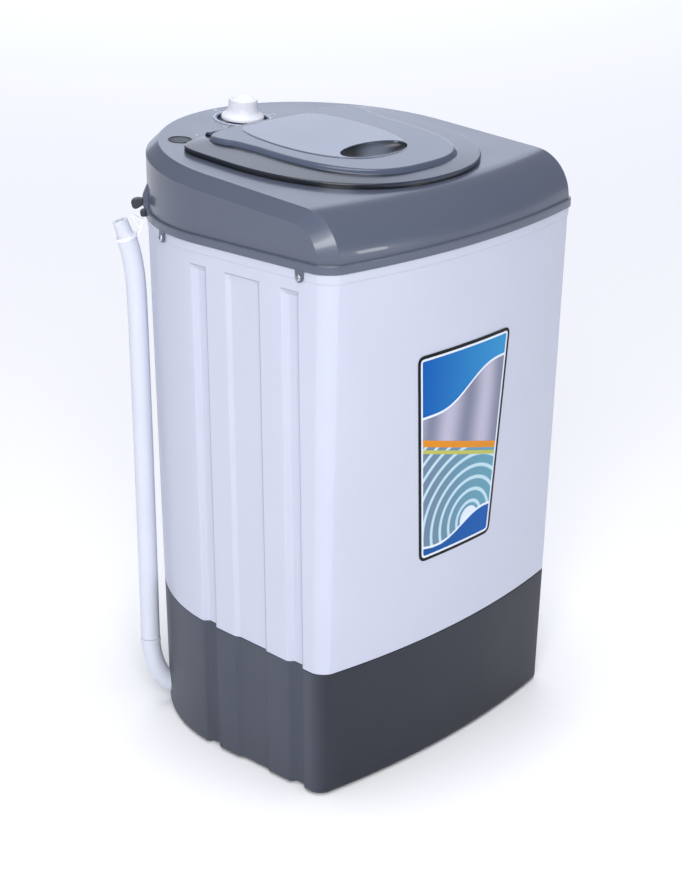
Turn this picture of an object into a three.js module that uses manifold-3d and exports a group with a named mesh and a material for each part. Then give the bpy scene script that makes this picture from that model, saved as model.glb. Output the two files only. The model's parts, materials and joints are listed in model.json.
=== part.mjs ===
// A free-standing laundry spin dryer: a two-tone plastic casing with a fixed
// tub inside it, a perforated basket that a motor spins on one upright shaft,
// a smoky lid, a timer knob, and a drain hose that hangs up at the back left.
//
// Millimetres, +Z up, front towards -Y. The origin is on the floor, under the
// middle of the casing.
import * as THREE from 'three';
import { mergeVertices } from 'three/addons/utils/BufferGeometryUtils.js';
import Module from 'manifold-3d';

const wasm = await Module();
wasm.setup();

// ---------------------------------------------------------------- dimensions

// Clearances
const SEAT_GAP = 0.3;             // between pieces that rest on or fit in each other
const RUN_GAP = 0.8;              // round parts that turn inside others

// Casing outline, seen from above: a bulged front, straight sides, a round back.
// It narrows towards the floor, so each size is given at the floor and the rim.
const CASING_WIDTH_RIM = 379.4;
const CASING_WIDTH_FLOOR = 370.6;
const FRONT_EDGE_Y_RIM = -169.8;  // where the front arc would meet the sides
const FRONT_EDGE_Y_FLOOR = -152;
const FRONT_BULGE_RIM = 23.6;
const FRONT_BULGE_FLOOR = 18;
const CORNER_RADIUS_RIM = 19.5;
const CORNER_RADIUS_FLOOR = 14;
const BACK_CENTRE_Y_RIM = 4.3;
const BACK_CENTRE_Y_FLOOR = 1.5;

// Casing heights
const SKIRT_Z = 3;                // underside of the base's skirt, clear of the floor
const JOINT_HEIGHT = 147.5;       // joint of base and cabinet at the middle
const JOINT_SLOPE = 0.036;        // the joint climbs towards the back
const CABINET_TOP = 566.5;
const RIM_BOTTOM = 563.6;
const RIM_TOP = 572.5;

// Side flutes, the same on both sides: front edge, back edge and depth
const FLUTES = [
  { front: -131, back: -108, depth: 6 },
  { front: -79, back: -32, depth: 3 },
  { front: -5, back: 17, depth: 6 },
];
const FLUTE_SIDE = 4.5;           // width of a flute's sloping side
const FLUTE_TOP = 541;
const FLUTE_RUNOUT = 7;

// Base
const BASE_WALL = 3;
const BASE_EDGE = 2.4;            // bevel around the base's foot
const FLOOR_BOTTOM = 8;
const FLOOR_THICKNESS = 3;
const LAP_HEIGHT = 9;
const LAP_WALL = 2.4;

// Cabinet
const CABINET_WALL = 3;
const LEDGE_HEIGHT = 13;          // raised band under the cover's rim
const LEDGE_STAND = 0.8;

// Cover
const COVER_WALL = 2.8;
const RIM_STAND = 2.9;            // how far the rim stands out of the casing
const TOP_RISE = 57.5;            // top surface at the middle, over the rim's top
const TOP_HEIGHT = RIM_TOP + TOP_RISE;
const TOP_SLOPE = 0.077;          // the top climbs towards the back
const SHOULDER = 13;
const FRONT_ROUND = 46;
const MOUTH_RADIUS = 98;
const MOUTH_COLLAR = 2.4;
const MOUTH_COLLAR_BOTTOM = 556;

// Spinning axis
const SPIN_Y = -18;

// Tub
const TUB_RADIUS = 148;
const TUB_WALL = 3;
const TUB_FLOOR = 150;
const DECK_THICKNESS = 2.5;
const TUB_HOLE_RADIUS = 30;
const SPIGOT_RADIUS = 9;
const SPIGOT_BORE = 6.5;
const SPIGOT_LENGTH = 28;
const SPIGOT_REACH = 94.6;        // from the back round's centre, along the drain's line

// Basket
const BASKET_RADIUS = 121;
const BASKET_WALL = 2;
const BASKET_BOTTOM = 182;
const BASKET_TOP = 524;
const BASKET_SIDES = 24;
const HOLE_ROWS = 4;
const HOLE_WIDTH = 10;
const HOLE_HEIGHT = 44;
const RING_HEIGHT = 24;
const RING_WIDTH = 22;            // balance ring, in from the basket's side
const RING_MOUTH = BASKET_RADIUS - RING_WIDTH;

// Drive line
const SHAFT_RADIUS = 6;
const SHAFT_BOTTOM = 25;
const SHAFT_TOP = 199;
const HUB_RADIUS = 38;
const HUB_FLANGE = 6.5;
const HUB_BOSS_RADIUS = 16;
const HUB_BOSS = 15;
const NUT_SIZE = 20;
const NUT_HEIGHT = 9;
const BUSH_RADIUS = 14.7;
const BUSH_BOTTOM = 139;
const BUSH_TOP = 157;
const BELLOWS_WAIST = 22.5;
const BELLOWS_FOLD = 10;          // its upper fold, below the bush's top

// Motor and its mounting
const STATOR_RADIUS = 56;
const STATOR_HEIGHT = 51;
const ROTOR_RADIUS = 32;
const ROTOR_HEIGHT = 40;
const SHIELD_THICKNESS = 7;
const CARRIER_BOTTOM = 88;
const CARRIER_THICKNESS = 4;
const CARRIER_RADIUS = 66;
const ARM_REACH = 95;
const ARM_WIDTH = 26;
const POST_RADIUS = 12;
const POST_TOP = 60;
const DAMPER_RADIUS = 13;
const BOLT_RADIUS = 3;
const BOLT_DEPTH = 15;
const BOLT_HEAD_RADIUS = 7;
const BOLT_HEAD_HEIGHT = 4.5;

// Brake
const DRUM_RADIUS = 42;
const DRUM_BOTTOM = 99;
const DRUM_HEIGHT = 22;
const DRUM_WALL = 5;
const BRAKE_GAP = 2.4;            // from the drum to the pad while the lid is shut
const PAD_THICKNESS = 5.6;
const PAD_LENGTH = 20;
const PAD_HEIGHT = 18;
const LEVER_THICKNESS = 6;
const LEVER_HEIGHT = 12;
const LEVER_FRONT_Y = -57;
const LEVER_BACK_Y = 14;
const PIVOT_Y = -50;
const PIVOT_RADIUS = 3;

// Lid, in the plane of the sloping top: x across, v towards the back, h up
const LID_HALF_WIDTH = 144;
const LID_MIDDLE_V = 15;
const LID_FRONT_REACH = 161;
const LID_BACK_REACH = 78;
const LID_LIFT = 0.4;
const LID_RIM = 4.6;
const LID_CREST = 11.6;
const LID_WALL = 2.4;
const PLATEAU_MARGIN = 40;
const HINGE_INSET = 3.2;          // hinge axis to the lid's back edge
const HINGE_H = 5;
const BARREL_RADIUS = 4.4;
const PIN_RADIUS = 2;
const EAR_X = 81;
const EAR_WIDTH = 6;
const BARREL_WIDTH = 8;
const RECESS = { x: 6, v: -44, halfWidth: 45, halfDepth: 21, depth: 9.5, wall: 2.6 };
const TAB_X = -66;
const TAB_WIDTH = 6;
const TAB_FRONT_V = 70;
const TAB_BACK_V = 78;
const TAB_BOTTOM_H = -9.7;

// Timer, behind the lid
const KNOB_V = 133;
const KNOB_RADIUS = 23;
const KNOB_GRIP_RADIUS = 15.4;
const KNOB_HEIGHT = 22;
const WELL_RADIUS = 27.5;
const WELL_DEPTH = 4;
const WELL_RING = 5.5;
const WELL_RING_HEIGHT = 1.2;
const TIMER_SHAFT_RADIUS = 3;
const TIMER_BODY = { width: 46, length: 40, height: 30 };
const TIMER_SCREW_X = 17;

// Water inlet, back left of the top
const INLET_X = -112;
const INLET_V = 110;
const INLET_RADIUS = 13;
const INLET_DEPTH = 15;

// Lid switch, under the top
const SWITCH_BODY = { x: -66, width: 15, front: 67, back: 99, top: -15.3, height: 18 };
const SWITCH_LEVER_V = 95;
const SWITCH_LEVER_H = -12.9;

// Cover lugs and screws: y along the side
const LUG_YS = [-135.8, 63.6];
const LUG_Z = 557;
const LUG_RADIUS = 5;
const LUG_STAND = 3.3;
const SCREW_HEAD_RADIUS = 3.5;
const SCREW_HEAD = 1.9;
const SCREW_RADIUS = 1.7;
const SCREW_LENGTH = 10;

// Feet
const FOOT_RADIUS = 15;
const FOOT_STUD_RADIUS = 4;
const FOOT_PLACES = [[-140, -112], [140, -112], [-92, 118], [92, 118]];

// Drain line, all in one upright plane through the back round's centre. Its outside
// points are how far they stand out of the rim's round, and their height.
const RIM_RADIUS = CASING_WIDTH_RIM / 2;
const HOSE_STAND = 14.3;          // hose's middle, out of the rim's round, at the elbow
const DRAIN_ANGLE = 143;
const DRAIN_RADIUS = 10.5;        // outside of the hose and elbow
const DRAIN_BORE = 7.6;
const ELBOW_INSET = 9.3;          // its bend starts inside the floor's round
const ELBOW_RUN = 26;
const ELBOW_TAIL_RUN = 6;
const ELBOW_BEND_START = CASING_WIDTH_FLOOR / 2 - ELBOW_INSET;
const ELBOW_INNER_END = ELBOW_BEND_START - ELBOW_RUN;
const ELBOW_Z = 24.5;
const ELBOW_TAIL_RADIUS = 9;       // where the sump hose pushes on
const ELBOW_TAIL_END = ELBOW_BEND_START - ELBOW_TAIL_RUN;
const ELBOW_BEND_REACH = RIM_RADIUS + HOSE_STAND - ELBOW_BEND_START;
const ELBOW_BEND_RISE = 59;
const ELBOW_SPIGOT = 17;
const ELBOW_SPIGOT_RADIUS = 6.9;
const ELBOW_BORE = 5.6;
const HOSE_ROUTE = [
  [HOSE_STAND, 84], [HOSE_STAND, 105], [14.2, 150], [14.1, 200], [14.1, 250], [14.1, 300],
  [14.2, 350], [14.4, 400], [14.7, 450], [15.2, 485], [16.4, 505], [18.6, 522],
  [21.7, 536], [23.2, 541],
];
const CUFF_LENGTH = 21;
const CUFF_RADIUS = 8.6;
const CUFF_COLLAR = 9.6;
const CUFF_BORE = 5;
const CUFF_TAIL_RADIUS = 6.3;
const CUFF_TAIL = 8;
const SUMP_RADIUS = 11.4;
const SUMP_BORE = 7;
const SUMP_ROUTE = [                // out of the tub's spigot, and height over the elbow
  [0, 113.5], [0, 75.5], [0, 43.5], [4.4, 22.5], [17.4, 6.5], [37.4, 0],
];
const SUMP_OVERLAP = 14;          // how far it runs past the elbow's inner end
const CLAMP_BAND = 9;
const CLAMP_THICKNESS = 1;

// Hose hook on the cover, in the drain's plane: out of the rim's round, up from its top
const FIN_OUTLINE = [
  [-1.8, 27.5], [-0.1, 26], [2.6, 20.7], [5, 15], [5.9, 9.9],
  [5.7, 4], [4.2, 0.3], [-1.8, 0.3],
];
const CLAW_OUTLINE = [
  [5.1, 10.5], [10.9, 11.4], [15.5, 9.5], [17.3, 5.4], [14.7, 0.1],
  [9.9, 1.4], [5.5, 3.9],
];
const PEG_OUTLINE = [[2.3, -0.7], [4.9, -0.7], [8.5, -3.5], [7.3, -8.3], [2.3, -8.3]];
const FIN_WIDTH = 4;
const CLAW_WIDTH = 9;
const HANGER_LOOP = [[4.7, -11.9], [19.1, -4.1], [8.5, -23.7]];
const HANGER_HOLE = [[8.1, -12.2], [15.1, -8.4], [9.9, -18]];
const HANGER_STRAP = [[11.7, -28.9], [12.9, -25.5], [9.9, -20.5], [7.7, -23.1]];
const HANGER_WIDTH = 2.6;

// Front label: a tapered plate with rounded corners, on the front face
const LABEL = { x: -6, topWidth: 143, bottomWidth: 112, bottom: 234, top: 461, corner: 9 };
const LABEL_THICKNESS = 0.5;

// Cord gland, at the back of the base
const GLAND_ANGLE = 90;
const GLAND_Z = 62;
const GLAND_RADIUS = 6;
const GLAND_FLANGE = 10;

// Capacitor, on the base's floor
const CAPACITOR = { x: -128, y: -46, radius: 20, height: 52, socket: 20 };

// Brake cable, from the hinge side of the cover to the brake lever
const CABLE_RADIUS = 2.5;
const CABLE_ROUTE = [
  [62, 88, 623], [62, 88, 601], [70, 95, 591], [88, 109, 586], [102, 120.2, 580],
  [107, 124, 566], [107, 124, 530], [107, 124, 400], [107, 124, 250], [106, 122, 165],
  [98, 104, 128], [80, 64, 114], [58, 34, 110], [53.8, 22, 110], [53.3, 15.2, 110],
];
const CABLE_HOLE_RADIUS = 4.5;
const CABLE_HOLE = [106.5, 123.6];

// --------------------------------------------------------------- materials

function finish(color, roughness, metalness = 0) {
  return new THREE.MeshStandardMaterial({ color, roughness, metalness });
}
const COVER_PLASTIC = finish('#6f7789', 0.38);
const BASE_PLASTIC = finish('#50545f', 0.5);
const CABINET_PLASTIC = finish('#e4e7f4', 0.42);
const LID_PLASTIC = finish('#737b90', 0.3);
const WHITE_PLASTIC = finish('#eef0f6', 0.4);
const HOSE_PLASTIC = finish('#dfe4f2', 0.45);
const DARK_PLASTIC = finish('#25272c', 0.55);
const RUBBER = finish('#202124', 0.85);
const STEEL = finish('#b9bcc0', 0.35, 1);
const BASKET_STEEL = finish('#c9ccd0', 0.28, 1);
const CAST_ALUMINIUM = finish('#9da1a6', 0.5, 1);
const BRASS = finish('#b08a4a', 0.4, 1);
const LABEL_FILM = finish('#2f7fc4', 0.35);

// ----------------------------------------------------------- solid geometry

// A closed geometry with shared corners and its faces pointing out.
function closed(geometry) {
  const bare = geometry.clone();
  bare.deleteAttribute('normal');
  bare.deleteAttribute('uv');
  const merged = mergeVertices(bare, 1e-4);
  const points = merged.attributes.position;
  const index = merged.index.array;
  const [a, b, c] = [new THREE.Vector3(), new THREE.Vector3(), new THREE.Vector3()];
  const faces = [];
  let volume = 0;
  for (let i = 0; i < index.length; i += 3) {
    const [p, q, r] = [index[i], index[i + 1], index[i + 2]];
    if (p === q || q === r || r === p) continue;
    faces.push([p, q, r]);
    a.fromBufferAttribute(points, p);
    b.fromBufferAttribute(points, q);
    c.fromBufferAttribute(points, r);
    volume += a.dot(b.cross(c));
  }
  if (volume < 0) faces.forEach((face) => face.reverse());
  merged.setIndex(faces.flat());
  return merged;
}

function toSolid(body) {
  if (body instanceof wasm.Manifold) return body;
  const shape = closed(body);
  return new wasm.Manifold(new wasm.Mesh({
    numProp: 3,
    vertProperties: new Float32Array(shape.attributes.position.array),
    triVerts: new Uint32Array(shape.index.array),
  }));
}

function toGeometry(body) {
  if (body.isBufferGeometry) return body;
  const mesh = body.getMesh();
  const geometry = new THREE.BufferGeometry();
  geometry.setAttribute('position', new THREE.BufferAttribute(mesh.vertProperties, 3));
  geometry.setIndex(new THREE.BufferAttribute(mesh.triVerts, 1));
  return geometry;
}

function join(...bodies) {
  return bodies.map(toSolid).reduce((sum, solid) => sum.add(solid));
}

function cut(body, ...tools) {
  return tools.map(toSolid).reduce((rest, tool) => rest.subtract(tool), toSolid(body));
}

function common(first, second) {
  return toSolid(first).intersect(toSolid(second));
}

// ------------------------------------------------------------ basic bodies

function box(x0, x1, y0, y1, z0, z1) {
  const geometry = new THREE.BoxGeometry(x1 - x0, y1 - y0, z1 - z0);
  return geometry.translate((x0 + x1) / 2, (y0 + y1) / 2, (z0 + z1) / 2);
}

// An upright cylinder or cone.
function rod(radius, z0, z1, { x = 0, y = 0, sides = 24, topRadius = radius } = {}) {
  const geometry = new THREE.CylinderGeometry(topRadius, radius, z1 - z0, sides);
  return geometry.rotateX(Math.PI / 2).translate(x, y, (z0 + z1) / 2);
}

// A solid of revolution about an upright axis, from [radius, z] points.
function turned(profile, { x = 0, y = 0, sides = 32 } = {}) {
  const points = profile.map(([r, z]) => new THREE.Vector2(r, z));
  return new THREE.LatheGeometry(points, sides).rotateX(Math.PI / 2).translate(x, y, 0);
}

// A ring with a square section.
function ring(inner, outer, z0, z1, place) {
  return turned([[inner, z0], [outer, z0], [outer, z1], [inner, z1], [inner, z0]], place);
}

// A closed skin over rings of equally many points. The first and last rings are filled in,
// or, round an endless loop, joined to each other.
function loft(rings, endless = false) {
  const count = rings[0].length;
  const positions = rings.flat().flatMap((p) => [p.x, p.y, p.z]);
  const index = [];
  for (let k = 0; k < rings.length - (endless ? 0 : 1); k += 1) {
    const [low, high] = [k * count, ((k + 1) % rings.length) * count];
    for (let i = 0; i < count; i += 1) {
      const next = (i + 1) % count;
      index.push(low + i, low + next, high + next, low + i, high + next, high + i);
    }
  }
  const cap = (ring, first, flip) => {
    const flat = ring.map((p) => new THREE.Vector2(p.x, p.y));
    for (const face of THREE.ShapeUtils.triangulateShape(flat, [])) {
      const [a, b, c] = face.map((i) => first + i);
      index.push(...(flip ? [c, b, a] : [a, b, c]));
    }
  };
  if (!endless) {
    cap(rings[0], 0, true);
    cap(rings.at(-1), (rings.length - 1) * count, false);
  }
  const geometry = new THREE.BufferGeometry();
  geometry.setAttribute('position', new THREE.Float32BufferAttribute(positions, 3));
  geometry.setIndex(index);
  return geometry;
}

function circleShape(radius, sides, bore = 0, boreSides = 8) {
  const around = (r, n) => Array.from({ length: n }, (_, i) => {
    const angle = (2 * Math.PI * i) / n;
    return new THREE.Vector2(r * Math.cos(angle), r * Math.sin(angle));
  });
  const shape = new THREE.Shape(around(radius, sides));
  if (bore > 0) shape.holes.push(new THREE.Path(around(bore, boreSides).reverse()));
  return shape;
}

// A tube along a smooth curve through the points.
function tube(points, radius, steps, { sides = 10, bore = 0 } = {}) {
  const curve = new THREE.CatmullRomCurve3(points, false, 'centripetal');
  return new THREE.ExtrudeGeometry(circleShape(radius, sides, bore), { steps, extrudePath: curve });
}

// A flat outline given in [across, up] points, with a thickness centred on its plane.
function plate(outline, thickness) {
  const shape = new THREE.Shape(outline.map(([u, w]) => new THREE.Vector2(u, w)));
  const options = { depth: thickness, bevelEnabled: false };
  return new THREE.ExtrudeGeometry(shape, options).translate(0, 0, -thickness / 2);
}

// --------------------------------------------------------- casing outline

const mix = THREE.MathUtils.lerp;

function casingSize(z) {
  const t = (z - SKIRT_Z) / (RIM_BOTTOM - SKIRT_Z);
  return {
    half: mix(CASING_WIDTH_FLOOR, CASING_WIDTH_RIM, t) / 2,
    edgeY: mix(FRONT_EDGE_Y_FLOOR, FRONT_EDGE_Y_RIM, t),
    bulge: mix(FRONT_BULGE_FLOOR, FRONT_BULGE_RIM, t),
    corner: mix(CORNER_RADIUS_FLOOR, CORNER_RADIUS_RIM, t),
    backY: mix(BACK_CENTRE_Y_FLOOR, BACK_CENTRE_Y_RIM, t),
  };
}

// Half of the outline, from the middle of the front round the +X side to the middle of the back.
function halfOutline(z, grow, flutes, fluteDepth) {
  const { half, edgeY, bulge, corner, backY } = casingSize(z);
  const points = [];
  const frontRadius = (half * half + bulge * bulge) / (2 * bulge) + grow;
  const frontCentreY = edgeY - bulge - grow + frontRadius;
  const side = half + grow;
  const cornerRadius = Math.max(corner + grow, 2);
  const cornerX = side - cornerRadius;
  const cornerY = frontCentreY - Math.sqrt((frontRadius - cornerRadius) ** 2 - cornerX ** 2);
  const cornerAngle = Math.atan2(cornerY - frontCentreY, cornerX);
  const FRONT_STEPS = 4;
  for (let i = 0; i < FRONT_STEPS; i += 1) {
    const angle = mix(-Math.PI / 2, cornerAngle, i / FRONT_STEPS);
    points.push([frontRadius * Math.cos(angle), frontCentreY + frontRadius * Math.sin(angle)]);
  }
  const CORNER_STEPS = 3;
  for (let i = 0; i <= CORNER_STEPS; i += 1) {
    const angle = mix(cornerAngle, 0, i / CORNER_STEPS);
    points.push([cornerX + cornerRadius * Math.cos(angle), cornerY + cornerRadius * Math.sin(angle)]);
  }
  const sideX = (y) => (y > backY ? Math.sqrt(side ** 2 - (y - backY) ** 2) : side);
  for (const flute of flutes) {
    const depth = flute.depth * fluteDepth;
    points.push([sideX(flute.front), flute.front]);
    points.push([sideX(flute.front) - depth, flute.front + FLUTE_SIDE * 0.6]);
    points.push([sideX(flute.back) - depth, flute.back - FLUTE_SIDE * 1.6]);
    points.push([sideX(flute.back), flute.back]);
  }
  const BACK_STEPS = 8;
  const { front: straightEnd, back: roundStart } = FLUTES.at(-1);
  if (flutes.length === 0) points.push([side, straightEnd], [sideX(roundStart), roundStart]);
  const firstAngle = Math.asin((roundStart - backY) / side);
  for (let i = 1; i <= BACK_STEPS; i += 1) {
    const angle = mix(firstAngle, Math.PI / 2, i / BACK_STEPS);
    points.push([side * Math.cos(angle), backY + side * Math.sin(angle)]);
  }
  return points;
}

// The whole outline, anticlockwise; place gives each point's own height.
function wholeRing(half, place) {
  const mirrored = half.slice(1, -1).reverse().map(([x, y]) => [-x, y]);
  return [...half, ...mirrored].map(([x, y]) => new THREE.Vector3(x, y, place(y)));
}

function casingRing(z, grow = 0, fluteDepth = 1, place = () => z) {
  return wholeRing(halfOutline(z, grow, FLUTES, fluteDepth), place);
}

// The outline without its flutes, as it is at the rim unless another height is given.
function plainRing(grow, place, z = RIM_BOTTOM) {
  return wholeRing(halfOutline(z, grow, [], 0), place);
}

const jointZ = (y) => JOINT_HEIGHT + JOINT_SLOPE * y;
const jointRing = (grow, rise) => casingRing(JOINT_HEIGHT, grow, 1, (y) => jointZ(y) + rise);

// A point on the casing's round back, or on the straight side in front of it.
function sidePoint(y, z, grow, sign) {
  const { half, backY } = casingSize(z);
  const angle = y > backY ? Math.asin((y - backY) / half) : 0;
  const x = (half + grow) * Math.cos(angle);
  const shift = grow * Math.sin(angle);
  return { x: sign * x, y: y + shift, angle: sign > 0 ? angle : Math.PI - angle };
}

// ------------------------------------------------------- the drain's plane

const drainTurn = THREE.MathUtils.degToRad(DRAIN_ANGLE);
function inDrainPlane([radius, z]) {
  return new THREE.Vector3(
    radius * Math.cos(drainTurn), BACK_CENTRE_Y_RIM + radius * Math.sin(drainTurn), z);
}

const outside = (points) => points.map(([out, z]) => inDrainPlane([RIM_RADIUS + out, z]));

// A plate in the drain's plane, drawn from the top of the rim's round.
function hookPlate(outline, width) {
  const raised = outline.map(([out, up]) => [RIM_RADIUS + out, RIM_TOP + up]);
  const geometry = toGeometry(plate(raised, width)).rotateX(Math.PI / 2).rotateZ(drainTurn);
  return geometry.translate(0, BACK_CENTRE_Y_RIM, 0);
}

// ------------------------------------------------------------- sloping top

const topAngle = Math.atan(TOP_SLOPE);
const topZ = (y) => TOP_HEIGHT + TOP_SLOPE * y;
const topMatrix = new THREE.Matrix4().makeRotationX(topAngle).setPosition(0, 0, TOP_HEIGHT);
const onTop = (body) => toGeometry(body).applyMatrix4(topMatrix);

// ------------------------------------------------------------------- scene

const dryer = new THREE.Group();
const topFrame = new THREE.Group();
topFrame.position.z = TOP_HEIGHT;
topFrame.rotation.x = topAngle;
dryer.add(topFrame);
const spinFrame = new THREE.Group();
spinFrame.position.y = SPIN_Y;
dryer.add(spinFrame);

function add(name, body, material, parent = dryer) {
  const mesh = new THREE.Mesh(closed(toGeometry(body)), material);
  mesh.name = name;
  parent.add(mesh);
  return mesh;
}

// -------------------------------------------------------------------- base

const postAngles = [90, 210, 330].map((degrees) => THREE.MathUtils.degToRad(degrees));
const postPlace = (angle) => ({
  x: ARM_REACH * Math.cos(angle), y: SPIN_Y + ARM_REACH * Math.sin(angle), sides: 12,
});
const floorTop = FLOOR_BOTTOM + FLOOR_THICKNESS;

function elbowCurve() {
  const points = [inDrainPlane([ELBOW_TAIL_END, ELBOW_Z])];
  const BEND_STEPS = 8;
  for (let i = 0; i <= BEND_STEPS; i += 1) {
    const angle = (Math.PI / 2) * (i / BEND_STEPS);
    const radius = ELBOW_BEND_START + ELBOW_BEND_REACH * Math.sin(angle);
    points.push(inDrainPlane([radius, ELBOW_Z + ELBOW_BEND_RISE * (1 - Math.cos(angle))]));
  }
  return points;
}

// Underside, skirt, outer wall, the lip that goes up inside the cabinet, and the inner wall.
function baseShell() {
  const lap = -CABINET_WALL - SEAT_GAP;
  const skirt = -BASE_EDGE - BASE_WALL;
  return loft([
    casingRing(FLOOR_BOTTOM, skirt), casingRing(SKIRT_Z, skirt), casingRing(SKIRT_Z, -BASE_EDGE),
    casingRing(SKIRT_Z + BASE_EDGE * 1.6), jointRing(0, 0), jointRing(lap, 0),
      jointRing(lap, LAP_HEIGHT),
    jointRing(lap - LAP_WALL, LAP_HEIGHT), casingRing(floorTop, -BASE_WALL),
  ]);
}

function glandPlace(reach) {
  const angle = THREE.MathUtils.degToRad(GLAND_ANGLE);
  const { half, backY } = casingSize(GLAND_Z);
  return { angle, x: (half + reach) * Math.cos(angle), y: backY + (half + reach) * Math.sin(angle) };
}

// Lays an upright body along a level direction, its own z = 0 going to the place.
function layOut(body, { x, y, angle }, z) {
  return toGeometry(body).rotateY(Math.PI / 2).rotateZ(angle).translate(x, y, z);
}

function makeBase() {
  const posts = postAngles.map((angle) => (
    rod(POST_RADIUS * 1.3, floorTop - 1, POST_TOP, { ...postPlace(angle), topRadius: POST_RADIUS })));
  const sockets = postAngles.map((angle) => (
    rod(BOLT_RADIUS + SEAT_GAP, POST_TOP - BOLT_DEPTH - 2, POST_TOP + 1, postPlace(angle))));
  const footHoles = FOOT_PLACES.map(([x, y]) => (
    rod(FOOT_STUD_RADIUS + SEAT_GAP, SKIRT_Z, floorTop + 1, { x, y, sides: 12 })));
  const elbowHole = tube(elbowCurve(), DRAIN_RADIUS + SEAT_GAP, 10, { sides: 12 });
  const glandHole = layOut(rod(GLAND_RADIUS + SEAT_GAP, -12, 12, { sides: 12 }), glandPlace(0),
    GLAND_Z);
  const body = join(baseShell(), ...posts);
  add('base', cut(body, ...sockets, ...footHoles, elbowHole, glandHole), BASE_PLASTIC);
}

function makeFeet() {
  FOOT_PLACES.forEach(([x, y], i) => {
    const profile = [
      [0, 0], [FOOT_RADIUS - 1.5, 0], [FOOT_RADIUS, 1.5], [FOOT_RADIUS, FLOOR_BOTTOM - SEAT_GAP],
      [FOOT_STUD_RADIUS, FLOOR_BOTTOM - SEAT_GAP], [FOOT_STUD_RADIUS, floorTop + 1.5],
        [0, floorTop + 1.5],
    ];
    add(`foot_${i + 1}`, turned(profile, { x, y, sides: 12 }), RUBBER);
  });
}

function makeGland() {
  const profile = [
    [3.6, -9], [GLAND_RADIUS, -9], [GLAND_RADIUS, SEAT_GAP], [GLAND_FLANGE, SEAT_GAP + 0.4],
    [GLAND_FLANGE, 3], [5.4, 6], [3.6, 6], [3.6, -9],
  ];
  add('cord_gland', layOut(turned(profile, { sides: 12 }), glandPlace(0), GLAND_Z), DARK_PLASTIC);
}

// ----------------------------------------------------------------- cabinet

function screwPlaces() {
  const places = [];
  for (const sign of [-1, 1]) for (const y of LUG_YS) places.push(sidePoint(y, LUG_Z, 0, sign));
  return places;
}

function makeCabinet() {
  const ledgeBottom = CABINET_TOP - LEDGE_HEIGHT;
  const wall = loft([
    jointRing(0, SEAT_GAP), casingRing(FLUTE_TOP - FLUTE_RUNOUT), casingRing(FLUTE_TOP, 0, 0),
    casingRing(ledgeBottom, 0, 0), casingRing(ledgeBottom + 0.6, LEDGE_STAND, 0),
    casingRing(CABINET_TOP, LEDGE_STAND, 0), casingRing(CABINET_TOP, -CABINET_WALL, 0),
    casingRing(FLUTE_TOP - FLUTE_RUNOUT, -CABINET_WALL), jointRing(-CABINET_WALL, SEAT_GAP),
  ], true);
  const holes = screwPlaces().map((place) => (
    layOut(rod(SCREW_RADIUS + SEAT_GAP, -8, 6, { sides: 8 }), place, LUG_Z)));
  add('cabinet', cut(wall, ...holes), CABINET_PLASTIC);
}

function labelOutline() {
  const { x, topWidth, bottomWidth, bottom, top, corner } = LABEL;
  const corners = [
    [x - bottomWidth / 2, bottom], [x + bottomWidth / 2, bottom],
    [x + topWidth / 2, top], [x - topWidth / 2, top],
  ];
  const outline = [];
  corners.forEach(([cx, cz], i) => {
    const before = new THREE.Vector2(...corners[(i + 3) % 4]);
    const after = new THREE.Vector2(...corners[(i + 1) % 4]);
    const tip = new THREE.Vector2(cx, cz);
    const from = tip.clone().add(before.sub(tip).setLength(corner));
    const to = tip.clone().add(after.sub(tip).setLength(corner));
    const arc = new THREE.QuadraticBezierCurve(from, tip, to);
    for (const point of arc.getPoints(4)) outline.push([point.x, point.y]);
  });
  return outline;
}

function makeLabel() {
  const band = (grow) => loft([LABEL.bottom - 10,
    LABEL.top + 10].map((z) => plainRing(grow, () => z, z)));
  const depth = CASING_WIDTH_RIM;
  const front = plate(labelOutline(), depth).rotateX(Math.PI / 2).translate(0, -depth / 2 - 60, 0);
  const skin = cut(band(SEAT_GAP + LABEL_THICKNESS), band(SEAT_GAP));
  add('front_label', common(skin, front), LABEL_FILM);
}

// --------------------------------------------------------------------- tub

function spigotPlace() {
  const place = inDrainPlane([SPIGOT_REACH, 0]);
  return { x: place.x, y: place.y };
}

function makeTub() {
  const deckBottom = CABINET_TOP + SEAT_GAP;
  const deck = loft([deckBottom, deckBottom + DECK_THICKNESS].map((z) => plainRing(-1, () => z)));
  const place = { y: SPIN_Y, sides: 40 };
  const shell = rod(TUB_RADIUS, TUB_FLOOR, deckBottom + 1, place);
  const spigot = rod(SPIGOT_RADIUS, TUB_FLOOR - SPIGOT_LENGTH, TUB_FLOOR + 1,
    { ...spigotPlace(), sides: 12 });
  const room = rod(TUB_RADIUS - TUB_WALL, TUB_FLOOR + TUB_WALL, CABINET_TOP + 10, place);
  const drain = rod(SPIGOT_BORE, TUB_FLOOR - SPIGOT_LENGTH - 1, TUB_FLOOR + 10,
    { ...spigotPlace(), sides: 10 });
  const shaftHole = rod(TUB_HOLE_RADIUS, TUB_FLOOR - 1, TUB_FLOOR + 10, place);
  const cableHole = rod(CABLE_HOLE_RADIUS, CABINET_TOP - 5, CABINET_TOP + 10,
    { x: CABLE_HOLE[0], y: CABLE_HOLE[1], sides: 8 });
  add('tub', cut(join(deck, shell, spigot), room, drain, shaftHole, cableHole), WHITE_PLASTIC);
}

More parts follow.
